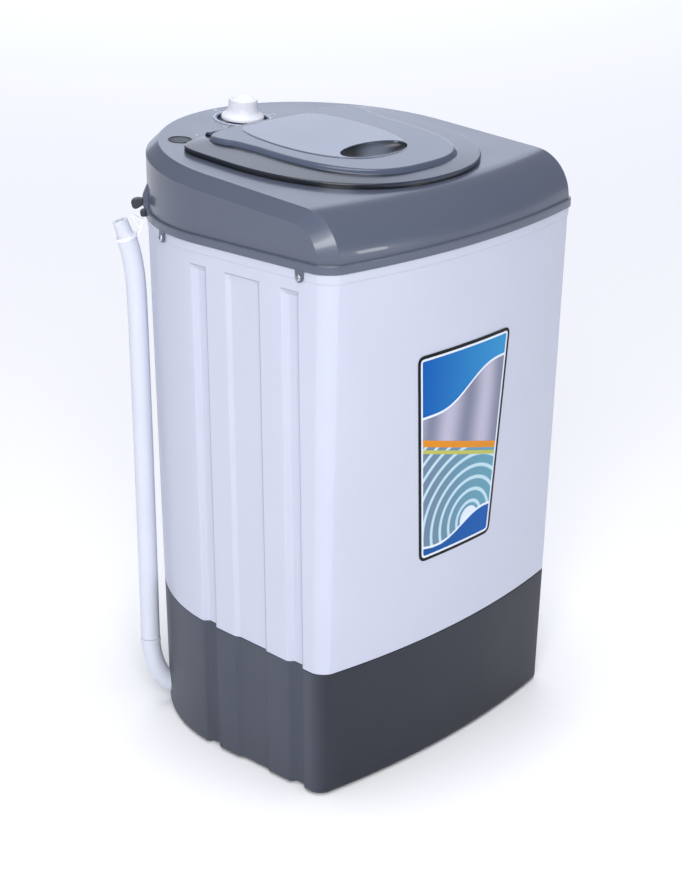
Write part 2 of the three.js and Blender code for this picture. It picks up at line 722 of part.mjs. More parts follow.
function makeBellows() {
  const floor = TUB_FLOOR + TUB_WALL + SEAT_GAP;
  const bore = BUSH_RADIUS + SEAT_GAP;
  const profile = [
    [TUB_HOLE_RADIUS + 10, floor], [TUB_HOLE_RADIUS + 10, floor + 3], [TUB_HOLE_RADIUS - 3, floor + 3],
    [BELLOWS_WAIST, BUSH_TOP - BELLOWS_FOLD], [bore + 2, BUSH_TOP], [bore, BUSH_TOP],
      [bore, BUSH_BOTTOM],
    [bore + 2.5, BUSH_BOTTOM], [bore + 2.5, BUSH_TOP - BELLOWS_FOLD + 3],
    [BELLOWS_WAIST, BUSH_BOTTOM + 2.5], [TUB_HOLE_RADIUS - 1.6, floor],
    [TUB_HOLE_RADIUS + 10, floor],
  ];
  add('bellows_seal', turned(profile, { sides: 24 }), RUBBER, spinFrame);
}

// ----------------------------------------------------- basket and its drive

function makeBasket() {
  const facet = BASKET_RADIUS * Math.cos(Math.PI / BASKET_SIDES);
  const shell = rod(BASKET_RADIUS, BASKET_BOTTOM + 8, BASKET_TOP, { sides: BASKET_SIDES });
  const foot = rod(BASKET_RADIUS - 9, BASKET_BOTTOM, BASKET_BOTTOM + 8,
    { sides: BASKET_SIDES, topRadius: BASKET_RADIUS });
  const room = rod(BASKET_RADIUS - BASKET_WALL, BASKET_BOTTOM + 10, BASKET_TOP + 1,
    { sides: BASKET_SIDES });
  const lowRoom = rod(BASKET_RADIUS - 11, BASKET_BOTTOM + 3, BASKET_BOTTOM + 10.5,
    { sides: BASKET_SIDES, topRadius: BASKET_RADIUS - BASKET_WALL });
  const shaftHole = rod(SHAFT_RADIUS + 0.4, BASKET_BOTTOM - 1, BASKET_BOTTOM + 10, { sides: 12 });
  const holes = [];
  const pitch = (BASKET_TOP - BASKET_BOTTOM - 44) / HOLE_ROWS;
  for (let column = 0; column < BASKET_SIDES; column += 2) {
    const angle = ((column + 0.5) * 2 * Math.PI) / BASKET_SIDES;
    for (let row = 0; row < HOLE_ROWS; row += 1) {
      const z = BASKET_BOTTOM + 32 + pitch * (row + 0.5) - HOLE_HEIGHT / 2;
      const slot = box(-HOLE_WIDTH / 2, HOLE_WIDTH / 2, -facet - 3, -facet + 6, z, z + HOLE_HEIGHT);
      holes.push(slot.rotateZ(angle));
    }
  }
  add('basket', cut(join(shell, foot), room, lowRoom, shaftHole, ...holes), BASKET_STEEL, spinFrame);
}

function makeBalanceRing() {
  const bottom = BASKET_TOP + SEAT_GAP;
  const outer = BASKET_RADIUS + 1;
  const profile = [
    [RING_MOUTH + 3, bottom], [outer, bottom], [outer, bottom + RING_HEIGHT - 6],
    [outer - 6, bottom + RING_HEIGHT], [RING_MOUTH + 5, bottom + RING_HEIGHT],
    [RING_MOUTH, bottom + RING_HEIGHT - 6], [RING_MOUTH, bottom + 5], [RING_MOUTH + 3, bottom],
  ];
  add('balance_ring', turned(profile, { sides: 32 }), WHITE_PLASTIC, spinFrame);
}

function makeDriveLine() {
  const flangeTop = BASKET_BOTTOM - SEAT_GAP;
  const flangeBottom = flangeTop - HUB_FLANGE;
  const bore = SHAFT_RADIUS + SEAT_GAP + 0.1;
  add('basket_hub', turned([
    [bore, flangeBottom - HUB_BOSS], [HUB_BOSS_RADIUS, flangeBottom - HUB_BOSS],
    [HUB_BOSS_RADIUS + 2, flangeBottom], [HUB_RADIUS, flangeBottom], [HUB_RADIUS, flangeTop],
    [bore, flangeTop], [bore, flangeBottom - HUB_BOSS],
  ], { sides: 20 }), CAST_ALUMINIUM, spinFrame);
  const nutBottom = BASKET_BOTTOM + 3 + SEAT_GAP;
  add('hub_nut', cut(
    rod(NUT_SIZE / Math.sqrt(3), nutBottom, nutBottom + NUT_HEIGHT, { sides: 6 }),
    rod(bore, nutBottom - 1, nutBottom + NUT_HEIGHT + 1, { sides: 12 }),
  ), STEEL, spinFrame);
  add('drive_shaft', turned([
    [0, SHAFT_BOTTOM], [SHAFT_RADIUS - 1, SHAFT_BOTTOM], [SHAFT_RADIUS, SHAFT_BOTTOM + 1],
    [SHAFT_RADIUS, SHAFT_TOP - 1], [SHAFT_RADIUS - 1, SHAFT_TOP], [0, SHAFT_TOP],
  ], { sides: 12 }), STEEL, spinFrame);
  add('shaft_bush',
    ring(SHAFT_RADIUS + SEAT_GAP + 0.1, BUSH_RADIUS, BUSH_BOTTOM, BUSH_TOP, { sides: 16 }),
    BRASS, spinFrame);
  const drumTop = DRUM_BOTTOM + DRUM_HEIGHT;
  add('brake_drum', turned([
    [bore, DRUM_BOTTOM], [DRUM_RADIUS, DRUM_BOTTOM], [DRUM_RADIUS, drumTop],
    [DRUM_RADIUS - DRUM_WALL, drumTop], [DRUM_RADIUS - DRUM_WALL, DRUM_BOTTOM + DRUM_WALL],
    [HUB_BOSS_RADIUS, DRUM_BOTTOM + DRUM_WALL], [HUB_BOSS_RADIUS, drumTop + 6], [bore, drumTop + 6],
    [bore, DRUM_BOTTOM],
  ], { sides: 24 }), CAST_ALUMINIUM, spinFrame);
}

// ------------------------------------------------------------------- motor

const statorTop = CARRIER_BOTTOM - SEAT_GAP;
const statorBottom = statorTop - STATOR_HEIGHT;

function makeMotor() {
  add('motor_stator',
    ring(ROTOR_RADIUS + RUN_GAP, STATOR_RADIUS, statorBottom, statorTop, { sides: 24 }),
    STEEL, spinFrame);
  const shieldTop = statorBottom - SEAT_GAP;
  const shieldBottom = shieldTop - SHIELD_THICKNESS;
  add('motor_lower_shield', turned([
    [SHAFT_RADIUS + 0.4, shieldBottom], [18, shieldBottom], [24, shieldBottom + 3],
    [STATOR_RADIUS, shieldBottom + 3], [STATOR_RADIUS, shieldTop],
    [SHAFT_RADIUS + 0.4, shieldTop], [SHAFT_RADIUS + 0.4, shieldBottom],
  ], { sides: 24 }), CAST_ALUMINIUM, spinFrame);
  const rotorBottom = (statorBottom + statorTop - ROTOR_HEIGHT) / 2;
  add('motor_rotor', ring(SHAFT_RADIUS + 0.4, ROTOR_RADIUS, rotorBottom, rotorBottom + ROTOR_HEIGHT,
    { sides: 24 }), STEEL, spinFrame);
}

function pivotX() {
  return DRUM_RADIUS + BRAKE_GAP + PAD_THICKNESS + SEAT_GAP + LEVER_THICKNESS / 2;
}

function makeCarrier() {
  const top = CARRIER_BOTTOM + CARRIER_THICKNESS;
  const disc = rod(CARRIER_RADIUS, CARRIER_BOTTOM, top, { y: SPIN_Y, sides: 32 });
  const boss = rod(HUB_BOSS_RADIUS, top - 1, DRUM_BOTTOM - 2, { y: SPIN_Y, sides: 16 });
  const arms = postAngles.map((angle) => {
    const arm = box(0, ARM_REACH, -ARM_WIDTH / 2, ARM_WIDTH / 2, CARRIER_BOTTOM, top);
    return arm.rotateZ(angle).translate(0, SPIN_Y, 0);
  });
  const pads = postAngles.map((angle) => rod(ARM_WIDTH / 2, CARRIER_BOTTOM, top, postPlace(angle)));
  const boltHoles = postAngles.map((angle) => (
    rod(BOLT_RADIUS + SEAT_GAP, CARRIER_BOTTOM - 1, top + 1, postPlace(angle))));
  const shaftHole = rod(SHAFT_RADIUS + 0.4, CARRIER_BOTTOM - 1, DRUM_BOTTOM, { y: SPIN_Y, sides: 12 });
  const pivotHole = rod(PIVOT_RADIUS + SEAT_GAP, CARRIER_BOTTOM - 1, top + 1,
    { x: pivotX(), y: PIVOT_Y, sides: 12 });
  add('motor_carrier', cut(join(disc, boss, ...arms, ...pads), ...boltHoles, shaftHole, pivotHole),
    CAST_ALUMINIUM);
}

function makeDampers() {
  postAngles.forEach((angle, i) => {
    const place = postPlace(angle);
    const bottom = POST_TOP + SEAT_GAP;
    const top = CARRIER_BOTTOM - SEAT_GAP;
    const bore = BOLT_RADIUS + SEAT_GAP;
    add(`damper_${i + 1}`, turned([
      [bore, bottom], [DAMPER_RADIUS, bottom], [DAMPER_RADIUS - 3, (bottom + top) / 2],
      [DAMPER_RADIUS, top], [bore, top], [bore, bottom],
    ], place), RUBBER);
    const headBottom = CARRIER_BOTTOM + CARRIER_THICKNESS + SEAT_GAP;
    add(`damper_bolt_${i + 1}`, join(
      rod(BOLT_RADIUS, POST_TOP - BOLT_DEPTH, headBottom + 1, { ...place, sides: 10 }),
      rod(BOLT_HEAD_RADIUS, headBottom, headBottom + BOLT_HEAD_HEIGHT, { ...place, sides: 6 }),
    ), STEEL);
  });
}

function makeBrake() {
  const middle = DRUM_BOTTOM + DRUM_HEIGHT / 2;
  const padFace = DRUM_RADIUS + BRAKE_GAP;
  add('brake_pad',
    box(padFace, padFace + PAD_THICKNESS, SPIN_Y - PAD_LENGTH / 2, SPIN_Y + PAD_LENGTH / 2,
    middle - PAD_HEIGHT / 2, middle + PAD_HEIGHT / 2), RUBBER);
  const leverX = padFace + PAD_THICKNESS + SEAT_GAP;
  const arm = box(leverX, leverX + LEVER_THICKNESS, LEVER_FRONT_Y, LEVER_BACK_Y,
    middle - LEVER_HEIGHT / 2, middle + LEVER_HEIGHT / 2);
  const eye = rod(PIVOT_RADIUS + 3.4, middle - LEVER_HEIGHT / 2, middle + LEVER_HEIGHT / 2,
    { x: pivotX(), y: PIVOT_Y, sides: 12 });
  const bore = rod(PIVOT_RADIUS + SEAT_GAP, middle - 20, middle + 20,
    { x: pivotX(), y: PIVOT_Y, sides: 12 });
  add('brake_lever', cut(join(arm, eye), bore), STEEL);
  const pinBottom = CARRIER_BOTTOM - 2;
  const shoulder = CARRIER_BOTTOM + CARRIER_THICKNESS + SEAT_GAP;
  add('brake_pivot', join(
    rod(PIVOT_RADIUS, pinBottom, middle + LEVER_HEIGHT / 2 + 3, { x: pivotX(), y: PIVOT_Y, sides: 10 }),
    rod(PIVOT_RADIUS + 3, shoulder, middle - LEVER_HEIGHT / 2 - SEAT_GAP,
      { x: pivotX(), y: PIVOT_Y, sides: 10 }),
  ), STEEL);
}

function makeCable() {
  const points = CABLE_ROUTE.map((point) => new THREE.Vector3(...point));
  add('brake_cable', tube(points, CABLE_RADIUS, 30, { sides: 8 }), DARK_PLASTIC);
}

function makeCapacitor() {
  const { x, y, radius, height, socket } = CAPACITOR;
  const bottom = floorTop + SEAT_GAP;
  add('capacitor_socket', turned([
    [0, bottom], [radius + 2.6, bottom], [radius + 2.6, bottom + socket],
      [radius + SEAT_GAP + 0.3, bottom + socket],
    [radius + SEAT_GAP + 0.3, bottom + 2], [0, bottom + 2],
  ], { x, y, sides: 16 }), DARK_PLASTIC);
  const seat = bottom + 2 + SEAT_GAP;
  add('capacitor', turned([
    [0, seat], [radius, seat], [radius, seat + height - 3], [radius - 3, seat + height],
      [0, seat + height],
  ], { x, y, sides: 16 }), finish('#d9d4c6', 0.5));
}

// ------------------------------------------------------------------- cover

// Body of the cover, shrunk by inset on every side but the bottom.
function coverBlock(inset, bottom) {
  const topRing = (drop, margin) => plainRing(-inset - margin, (y) => topZ(y) - inset - drop);
  const plan = loft([plainRing(-inset, () => bottom), topRing(SHOULDER, 0), topRing(0, SHOULDER)]);
  const { half, edgeY, bulge, backY } = casingSize(RIM_BOTTOM);
  const split = FLUTES.at(-1).front;
  const ahead = box(-half * 1.2, half * 1.2, edgeY - 60, split, bottom, TOP_HEIGHT + 60);
  const behind = box(-half * 1.2, half * 1.2, split, backY + half * 1.4, bottom, TOP_HEIGHT + 60);
  const profile = sideProfile(inset, bottom, edgeY, backY + half * 1.3);
  const shoulder = SHOULDER;
  const width = 2 * (half - inset - shoulder);
  const body = new THREE.ExtrudeGeometry(profile, {
    depth: width, steps: 8, bevelEnabled: true, bevelThickness: shoulder, bevelSize: shoulder,
    bevelOffset: -shoulder, bevelSegments: 1,
  });
  body.translate(0, 0, -width / 2);
  body.applyMatrix4(new THREE.Matrix4().makeBasis(
    new THREE.Vector3(0, 1, 0), new THREE.Vector3(0, 0, 1), new THREE.Vector3(1, 0, 0)));
  bendFront(body, half, bulge, backY);
  const aheadOrBack = join(common(plan, behind), ahead);
  return common(body, aheadOrBack);
}

// Side view of the cover in [y, z]: a big quarter round at the front under a sloping top.
function sideProfile(inset, bottom, frontY, backY) {
  const radius = FRONT_ROUND - inset;
  const centreY = frontY + FRONT_ROUND;
  const centreZ = topZ(centreY) - FRONT_ROUND / Math.cos(topAngle);
  const shape = new THREE.Shape();
  shape.moveTo(backY, bottom - SHOULDER * 2);
  shape.lineTo(backY, topZ(backY) - inset / Math.cos(topAngle));
  const ROUND_STEPS = 6;
  for (let i = 0; i <= ROUND_STEPS; i += 1) {
    const angle = mix(Math.PI / 2 + topAngle, Math.PI, i / ROUND_STEPS);
    shape.lineTo(centreY + radius * Math.cos(angle), centreZ + radius * Math.sin(angle));
  }
  shape.lineTo(frontY + inset, bottom - SHOULDER * 2);
  return shape;
}

// Carries the front edge out to the casing's bulge, along the slope of the top, fading to
// nothing at the back.
function bendFront(geometry, half, bulge, backY) {
  const points = geometry.attributes.position;
  const radius = (half * half + bulge * bulge) / (2 * bulge);
  const frontY = casingSize(RIM_BOTTOM).edgeY;
  for (let i = 0; i < points.count; i += 1) {
    const [x, y] = [points.getX(i), points.getY(i)];
    const out = Math.sqrt(Math.max(radius ** 2 - x ** 2, 0)) - (radius - bulge);
    const share = THREE.MathUtils.clamp((backY - y) / (backY - frontY), 0, 1);
    points.setY(i, y - out * share);
    points.setZ(i, points.getZ(i) - out * share * TOP_SLOPE);
  }
}

function coverRim() {
  const stepBottom = CABINET_TOP + DECK_THICKNESS + 2 * SEAT_GAP;
  const block = (grow, z0, z1) => loft([z0, z1].map((z) => plainRing(grow, () => z)));
  const outer = block(RIM_STAND, RIM_BOTTOM, RIM_TOP);
  const skirtRoom = block(LEDGE_STAND + SEAT_GAP, RIM_BOTTOM - 1, stepBottom);
  const room = block(-COVER_WALL, RIM_BOTTOM - 1, RIM_TOP + 1);
  return cut(outer, skirtRoom, room);
}

function coverLug(place) {
  const inner = LEDGE_STAND + SEAT_GAP;
  const lug = join(
    rod(LUG_RADIUS, inner, LUG_STAND, { sides: 12 }),
    box(-(RIM_BOTTOM - LUG_Z) - 1.5, 0, -LUG_RADIUS, LUG_RADIUS, inner, LUG_STAND),
  );
  return layOut(lug, place, LUG_Z);
}

function hoseHook() {
  return [
    hookPlate(FIN_OUTLINE, FIN_WIDTH), hookPlate(CLAW_OUTLINE, CLAW_WIDTH),
    hookPlate(PEG_OUTLINE, CLAW_WIDTH),
  ];
}

const hingeV = LID_MIDDLE_V + LID_BACK_REACH - HINGE_INSET;

function hingeEar(sign) {
  const x = sign * EAR_X;
  const ear = join(
    box(x - EAR_WIDTH / 2, x + EAR_WIDTH / 2, hingeV - BARREL_RADIUS, hingeV + BARREL_RADIUS,
      -COVER_WALL / 2, HINGE_H),
    rod(BARREL_RADIUS, -EAR_WIDTH / 2, EAR_WIDTH / 2,
      { sides: 12 }).rotateY(Math.PI / 2).translate(x, hingeV, HINGE_H),
  );
  return onTop(ear);
}

function pinBore(sign, clearance) {
  const reach = EAR_WIDTH / 2 + BARREL_WIDTH + 3;
  const bore = rod(PIN_RADIUS + clearance, -reach, reach, { sides: 12 });
  return bore.rotateY(Math.PI / 2).translate(sign * EAR_X, hingeV, HINGE_H);
}

function switchRib() {
  const side = SWITCH_BODY.x - SWITCH_BODY.width / 2 - SEAT_GAP;
  const low = SWITCH_BODY.top - SWITCH_BODY.height;
  return onTop(box(side - 2.6, side, SWITCH_BODY.front, SWITCH_BODY.back - 4, low, -COVER_WALL / 2));
}

function cableRib() {
  const [x, y, z] = CABLE_ROUTE[0];
  const half = CABLE_RADIUS + 2 * SEAT_GAP;
  const outer = box(x - 6, x + 6, y - 6, y + 6, z - 4, topZ(y) - COVER_WALL / 2);
  return cut(outer, box(x - half, x + half, y - half, y + half, z - 5, z + SEAT_GAP + 0.2));
}

function makeCover() {
  const stepBottom = CABINET_TOP + DECK_THICKNESS + 2 * SEAT_GAP;
  const shell = cut(coverBlock(0, stepBottom), coverBlock(COVER_WALL, stepBottom - 1));
  const collar = common(
    rod(MOUTH_RADIUS + MOUTH_COLLAR, MOUTH_COLLAR_BOTTOM, TOP_HEIGHT + 40, { y: SPIN_Y, sides: 36 }),
    coverBlock(COVER_WALL / 2, MOUTH_COLLAR_BOTTOM - 1),
  );
  const well = onTop(rod(WELL_RADIUS + COVER_WALL, -WELL_DEPTH - COVER_WALL, 0,
    { y: KNOB_V, sides: 28 }));
  const wellRing = onTop(rod(WELL_RADIUS + WELL_RING, -COVER_WALL / 2, WELL_RING_HEIGHT,
    { y: KNOB_V, sides: 28, topRadius: WELL_RADIUS + WELL_RING - 1 }));
  const parts = [
    shell, coverRim(), collar, well, wellRing, ...hoseHook(), hingeEar(-1), hingeEar(1),
    switchRib(), cableRib(), ...screwPlaces().map(coverLug),
  ];
  const mouth = rod(MOUTH_RADIUS, MOUTH_COLLAR_BOTTOM - 2, TOP_HEIGHT + 50, { y: SPIN_Y, sides: 36 });
  const wellRoom = onTop(rod(WELL_RADIUS, -WELL_DEPTH, WELL_RING_HEIGHT + 1, { y: KNOB_V, sides: 28 }));
  const shaftHole = onTop(rod(TIMER_SHAFT_RADIUS + 2, -20, 5, { y: KNOB_V, sides: 12 }));
  const timerScrewHoles = [-1, 1].map((sign) => (
    onTop(rod(SCREW_RADIUS + SEAT_GAP, -20, 5, { x: sign * TIMER_SCREW_X, y: KNOB_V, sides: 8 }))));
  const inletHole = onTop(rod(INLET_RADIUS, -20, 5, { x: INLET_X, y: INLET_V, sides: 20 }));
  const tabSlot = onTop(box(TAB_X - TAB_WIDTH / 2 - 1.5, TAB_X + TAB_WIDTH / 2 + 1.5,
    TAB_FRONT_V - 5.7, TAB_BACK_V + 2, -COVER_WALL - 2, 5));
  const screwHoles = screwPlaces().map((place) => (
    layOut(rod(SCREW_RADIUS + SEAT_GAP, 0, 8, { sides: 8 }), place, LUG_Z)));
  add('top_cover', cut(
    join(...parts), mouth, wellRoom, shaftHole, ...timerScrewHoles, inletHole, tabSlot, ...screwHoles,
    onTop(pinBore(-1, SEAT_GAP)), onTop(pinBore(1, SEAT_GAP)),
  ), COVER_PLASTIC);
}

function makeCoverScrews() {
  screwPlaces().forEach((place, i) => {
    const head = LUG_STAND + SEAT_GAP;
    const screw = turned([
      [0, head - SCREW_LENGTH], [SCREW_RADIUS, head - SCREW_LENGTH], [SCREW_RADIUS, head],
      [SCREW_HEAD_RADIUS, head], [SCREW_HEAD_RADIUS, head + SCREW_HEAD * 0.5],
      [SCREW_HEAD_RADIUS * 0.6, head + SCREW_HEAD], [0, head + SCREW_HEAD],
    ], { sides: 10 });
    add(`cover_screw_${i + 1}`, layOut(screw, place, LUG_Z), STEEL);
  });
}

// --------------------------------------------------------------------- lid

// The lid's outline: half a wide oval in front, a flatter one behind.
function lidRing(halfWidth, front, back, h) {
  const STEPS = 36;
  const FRONT_POWER = 2.3;
  const BACK_POWER = 4;
  return Array.from({ length: STEPS }, (_, i) => {
    const angle = (2 * Math.PI * i) / STEPS;
    const power = Math.sin(angle) < 0 ? FRONT_POWER : BACK_POWER;
    const across = Math.sign(Math.cos(angle)) * Math.abs(Math.cos(angle)) ** (2 / power);
    const along = Math.sign(Math.sin(angle)) * Math.abs(Math.sin(angle)) ** (2 / power);
    const reach = along < 0 ? front : back;
    return new THREE.Vector3(halfWidth * across, LID_MIDDLE_V + reach * along, h);
  });
}

function lidBlock(inset, drop) {
  const at = (margin, backMargin, h) => lidRing(
    LID_HALF_WIDTH - margin - inset, LID_FRONT_REACH - margin - inset,
      LID_BACK_REACH - backMargin - inset, h);
  const rimTop = LID_LIFT + LID_RIM;
  return loft([
    at(0, 0, LID_LIFT - (drop > 0 ? 1 : 0)), at(0, 0, rimTop - drop), at(2, 1.5, rimTop + 1 - drop),
    at(PLATEAU_MARGIN - 3, 3, rimTop + 2.4 - drop), at(PLATEAU_MARGIN, 5, LID_CREST - 1 - drop),
    at(PLATEAU_MARGIN + 6, 9, LID_CREST - drop),
  ]);
}

function recessBowl(grow) {
  const { x, v, halfWidth, halfDepth, depth } = RECESS;
  const bowl = new THREE.SphereGeometry(1, 16, 8).rotateX(Math.PI / 2);
  return bowl.scale(halfWidth + grow, halfDepth + grow, depth + grow).translate(x, v, LID_CREST);
}

function makeLid() {
  const shell = cut(lidBlock(0, 0), lidBlock(LID_WALL, LID_WALL));
  const overCrest = box(-LID_HALF_WIDTH, LID_HALF_WIDTH, -200, 100, LID_CREST - 0.5, LID_CREST + 40);
  const bowl = cut(recessBowl(RECESS.wall), overCrest);
  const barrels = [];
  const notches = [];
  for (const sign of [-1, 1]) {
    const reach = EAR_WIDTH / 2 + BARREL_WIDTH;
    barrels.push(rod(BARREL_RADIUS, -reach, reach, { sides: 12 }).rotateY(Math.PI / 2)
      .translate(sign * EAR_X, hingeV, HINGE_H));
    const half = EAR_WIDTH / 2 + 0.5;
    notches.push(box(sign * EAR_X - half, sign * EAR_X + half, hingeV - BARREL_RADIUS - 1.2,
      hingeV + 12, -2, LID_CREST + 4));
  }
  const tab = box(TAB_X - TAB_WIDTH / 2, TAB_X + TAB_WIDTH / 2, TAB_FRONT_V, TAB_BACK_V,
    TAB_BOTTOM_H, LID_CREST - 1);
  const heelRoom = box(-LID_HALF_WIDTH, LID_HALF_WIDTH, hingeV - 9, hingeV + 20, -2,
    HINGE_H - BARREL_RADIUS);
  const heelEdge = box(-LID_HALF_WIDTH, LID_HALF_WIDTH, hingeV + 0.2, hingeV + 20, -2, 2.6);
  const body = cut(join(shell, bowl, ...barrels, tab), recessBowl(0), ...notches, heelRoom, heelEdge,
    pinBore(-1, SEAT_GAP), pinBore(1, SEAT_GAP));
  add('lid', body, LID_PLASTIC, topFrame);
}

function makeHingePins() {
  for (const [name, sign] of [['lid_hinge_pin_left', -1], ['lid_hinge_pin_right', 1]]) {
    const reach = EAR_WIDTH / 2 + BARREL_WIDTH - 0.5;
    const pin = rod(PIN_RADIUS, -reach, reach, { sides: 10 }).rotateY(Math.PI / 2);
    add(name, pin.translate(sign * EAR_X, hingeV, HINGE_H), STEEL, topFrame);
  }
}

// ------------------------------------------------------------------- timer

function makeTimer() {
  const bodyTop = -WELL_DEPTH - COVER_WALL - SEAT_GAP;
  const { width, length, height } = TIMER_BODY;
  const block = join(
    box(-width / 2, width / 2, KNOB_V - length / 2, KNOB_V + length / 2, bodyTop - height, bodyTop),
    rod(TIMER_SHAFT_RADIUS + 1.7, bodyTop - 1, -WELL_DEPTH + 0.5, { y: KNOB_V, sides: 12 }),
  );
  const holes = [
    rod(TIMER_SHAFT_RADIUS + SEAT_GAP, bodyTop - 12, 5, { y: KNOB_V, sides: 12 }),
    ...[-1, 1].map((sign) => (
      rod(SCREW_RADIUS + SEAT_GAP, bodyTop - 9, bodyTop + 1,
        { x: sign * TIMER_SCREW_X, y: KNOB_V, sides: 8 }))),
  ];
  add('timer_body', cut(block, ...holes), DARK_PLASTIC, topFrame);
  add('timer_shaft', rod(TIMER_SHAFT_RADIUS, bodyTop - 11, 13, { y: KNOB_V, sides: 10 }), STEEL,
    topFrame);
  [-1, 1].forEach((sign, i) => {
    const head = -WELL_DEPTH + SEAT_GAP;
    const screw = turned([
      [0, bodyTop - 7.5], [SCREW_RADIUS, bodyTop - 7.5], [SCREW_RADIUS, head],
      [SCREW_HEAD_RADIUS, head], [SCREW_HEAD_RADIUS, head + 1], [2, head + SCREW_HEAD],
        [0, head + SCREW_HEAD],
    ], { x: sign * TIMER_SCREW_X, y: KNOB_V, sides: 8 });
    add(`timer_screw_${i + 1}`, screw, STEEL, topFrame);
  });
}

function makeKnob() {
  const foot = 0.2;
  const grip = KNOB_GRIP_RADIUS;
  const outline = [
    [0, foot], [KNOB_RADIUS - 1, foot], [KNOB_RADIUS, foot + 1], [KNOB_RADIUS, foot + 3.4],
    [grip + 3.2, foot + 7], [grip + 0.8, foot + 13], [grip, KNOB_HEIGHT - 0.8],
      [grip - 0.8, KNOB_HEIGHT],
    [grip - 2.6, KNOB_HEIGHT], [grip - 4, KNOB_HEIGHT - 1.8], [0, KNOB_HEIGHT - 1.8],
  ];
  const body = turned(outline, { y: KNOB_V, sides: 24 });
  const pointer = box(-1.1, 1.1, KNOB_V + grip - 2, KNOB_V + KNOB_RADIUS - 1.4, foot + 1, foot + 8);
  const bore = rod(TIMER_SHAFT_RADIUS + SEAT_GAP, foot - 1, 13.6, { y: KNOB_V, sides: 12 });
  add('timer_knob', cut(join(body, pointer), bore), WHITE_PLASTIC, topFrame);
}

function makeInlet() {
  const outer = INLET_RADIUS - 0.4;
  const cup = turned([
    [0, -INLET_DEPTH], [outer - 1, -INLET_DEPTH], [outer, -INLET_DEPTH + 1], [outer, SEAT_GAP],
    [outer + 1.6, SEAT_GAP], [outer + 1.2, SEAT_GAP + 0.9], [outer - 1.2, SEAT_GAP + 0.9],
    [outer - 1.6, -3], [outer - 1.6, -INLET_DEPTH + 2], [0, -INLET_DEPTH + 2],
  ], { x: INLET_X, y: INLET_V, sides: 20 });
  const slots = [-7, -2.4, 2.4, 7].map((offset) => (
    box(INLET_X + offset - 1.3, INLET_X + offset + 1.3, INLET_V - 7.4, INLET_V + 7.4,
      -INLET_DEPTH - 1, -INLET_DEPTH + 3)));
  add('inlet_strainer', cut(cup, ...slots), DARK_PLASTIC, topFrame);
}

function makeLidSwitch() {
  const { x, width, front, back, top, height } = SWITCH_BODY;
  add('lid_switch', box(x - width / 2, x + width / 2, front, back, top - height, top), DARK_PLASTIC,
    topFrame);
  const barrel = rod(2, -5, 5, { sides: 10 }).rotateY(Math.PI / 2).translate(x, SWITCH_LEVER_V,
    SWITCH_LEVER_H);
  const blade = box(x - 4, x + 4, TAB_FRONT_V - 1, SWITCH_LEVER_V, SWITCH_LEVER_H + 0.6,
    TAB_BOTTOM_H - SEAT_GAP);
  add('switch_lever', join(barrel, blade), WHITE_PLASTIC, topFrame);
}

// -------------------------------------------------------------- drain line

function makeSumpHose() {
  const points = SUMP_ROUTE.map(([out, up]) => inDrainPlane([SPIGOT_REACH + out, ELBOW_Z + up]));
  points.push(inDrainPlane([ELBOW_INNER_END + SUMP_OVERLAP, ELBOW_Z]));
  const body = tube(points, SUMP_RADIUS, 14, { sides: 10 });
  const sleeve = rod(SPIGOT_RADIUS + SEAT_GAP, TUB_FLOOR - SPIGOT_LENGTH - 1, TUB_FLOOR + 10,
    { ...spigotPlace(), sides: 12 });
  const elbowRoom = tube(
    [inDrainPlane([ELBOW_INNER_END - SEAT_GAP, ELBOW_Z]),
      inDrainPlane([ELBOW_INNER_END + 30, ELBOW_Z])],
    ELBOW_TAIL_RADIUS + SEAT_GAP, 1, { sides: 12 });
  const bore = tube(points, SUMP_BORE, 14, { sides: 8 });
  add('sump_hose', cut(body, bore, sleeve, elbowRoom), RUBBER);
}

function makeClamps() {
  const inner = SUMP_RADIUS + SEAT_GAP + 0.4;
  const outer = inner + CLAMP_THICKNESS;
  const place = { ...spigotPlace(), sides: 16 };
  const bottom = TUB_FLOOR - SPIGOT_LENGTH + 3;
  add('sump_clamp_upper', ring(inner, outer, bottom, bottom + CLAMP_BAND, place), STEEL);
  const level = ring(inner, outer, -CLAMP_BAND / 2, CLAMP_BAND / 2, { sides: 16 });
  const at = inDrainPlane([ELBOW_INNER_END + 5, ELBOW_Z]);
  add('sump_clamp_lower', layOut(level, { x: at.x, y: at.y, angle: drainTurn }, at.z), STEEL);
}

function makeElbow() {
  const curve = elbowCurve();
  const body = tube(curve, DRAIN_RADIUS, 12, { sides: 12 });
  const end = inDrainPlane([ELBOW_INNER_END, ELBOW_Z]);
  const tail = tube([end, inDrainPlane([ELBOW_BEND_START, ELBOW_Z])], ELBOW_TAIL_RADIUS, 1,
    { sides: 12 });
  const [foot, top] = [curve.at(-1).clone(), curve.at(-1).clone()];
  foot.z -= 3;
  top.z += ELBOW_SPIGOT;
  const spigot = tube([foot, top], ELBOW_SPIGOT_RADIUS, 1, { sides: 12 });
  const past = top.clone();
  past.z += 2;
  const lead = inDrainPlane([ELBOW_INNER_END - 2, ELBOW_Z]);
  const bore = tube([lead, ...curve, past], ELBOW_BORE, 16, { sides: 8 });
  add('drain_elbow', cut(join(body, tail, spigot), bore), HOSE_PLASTIC);
}

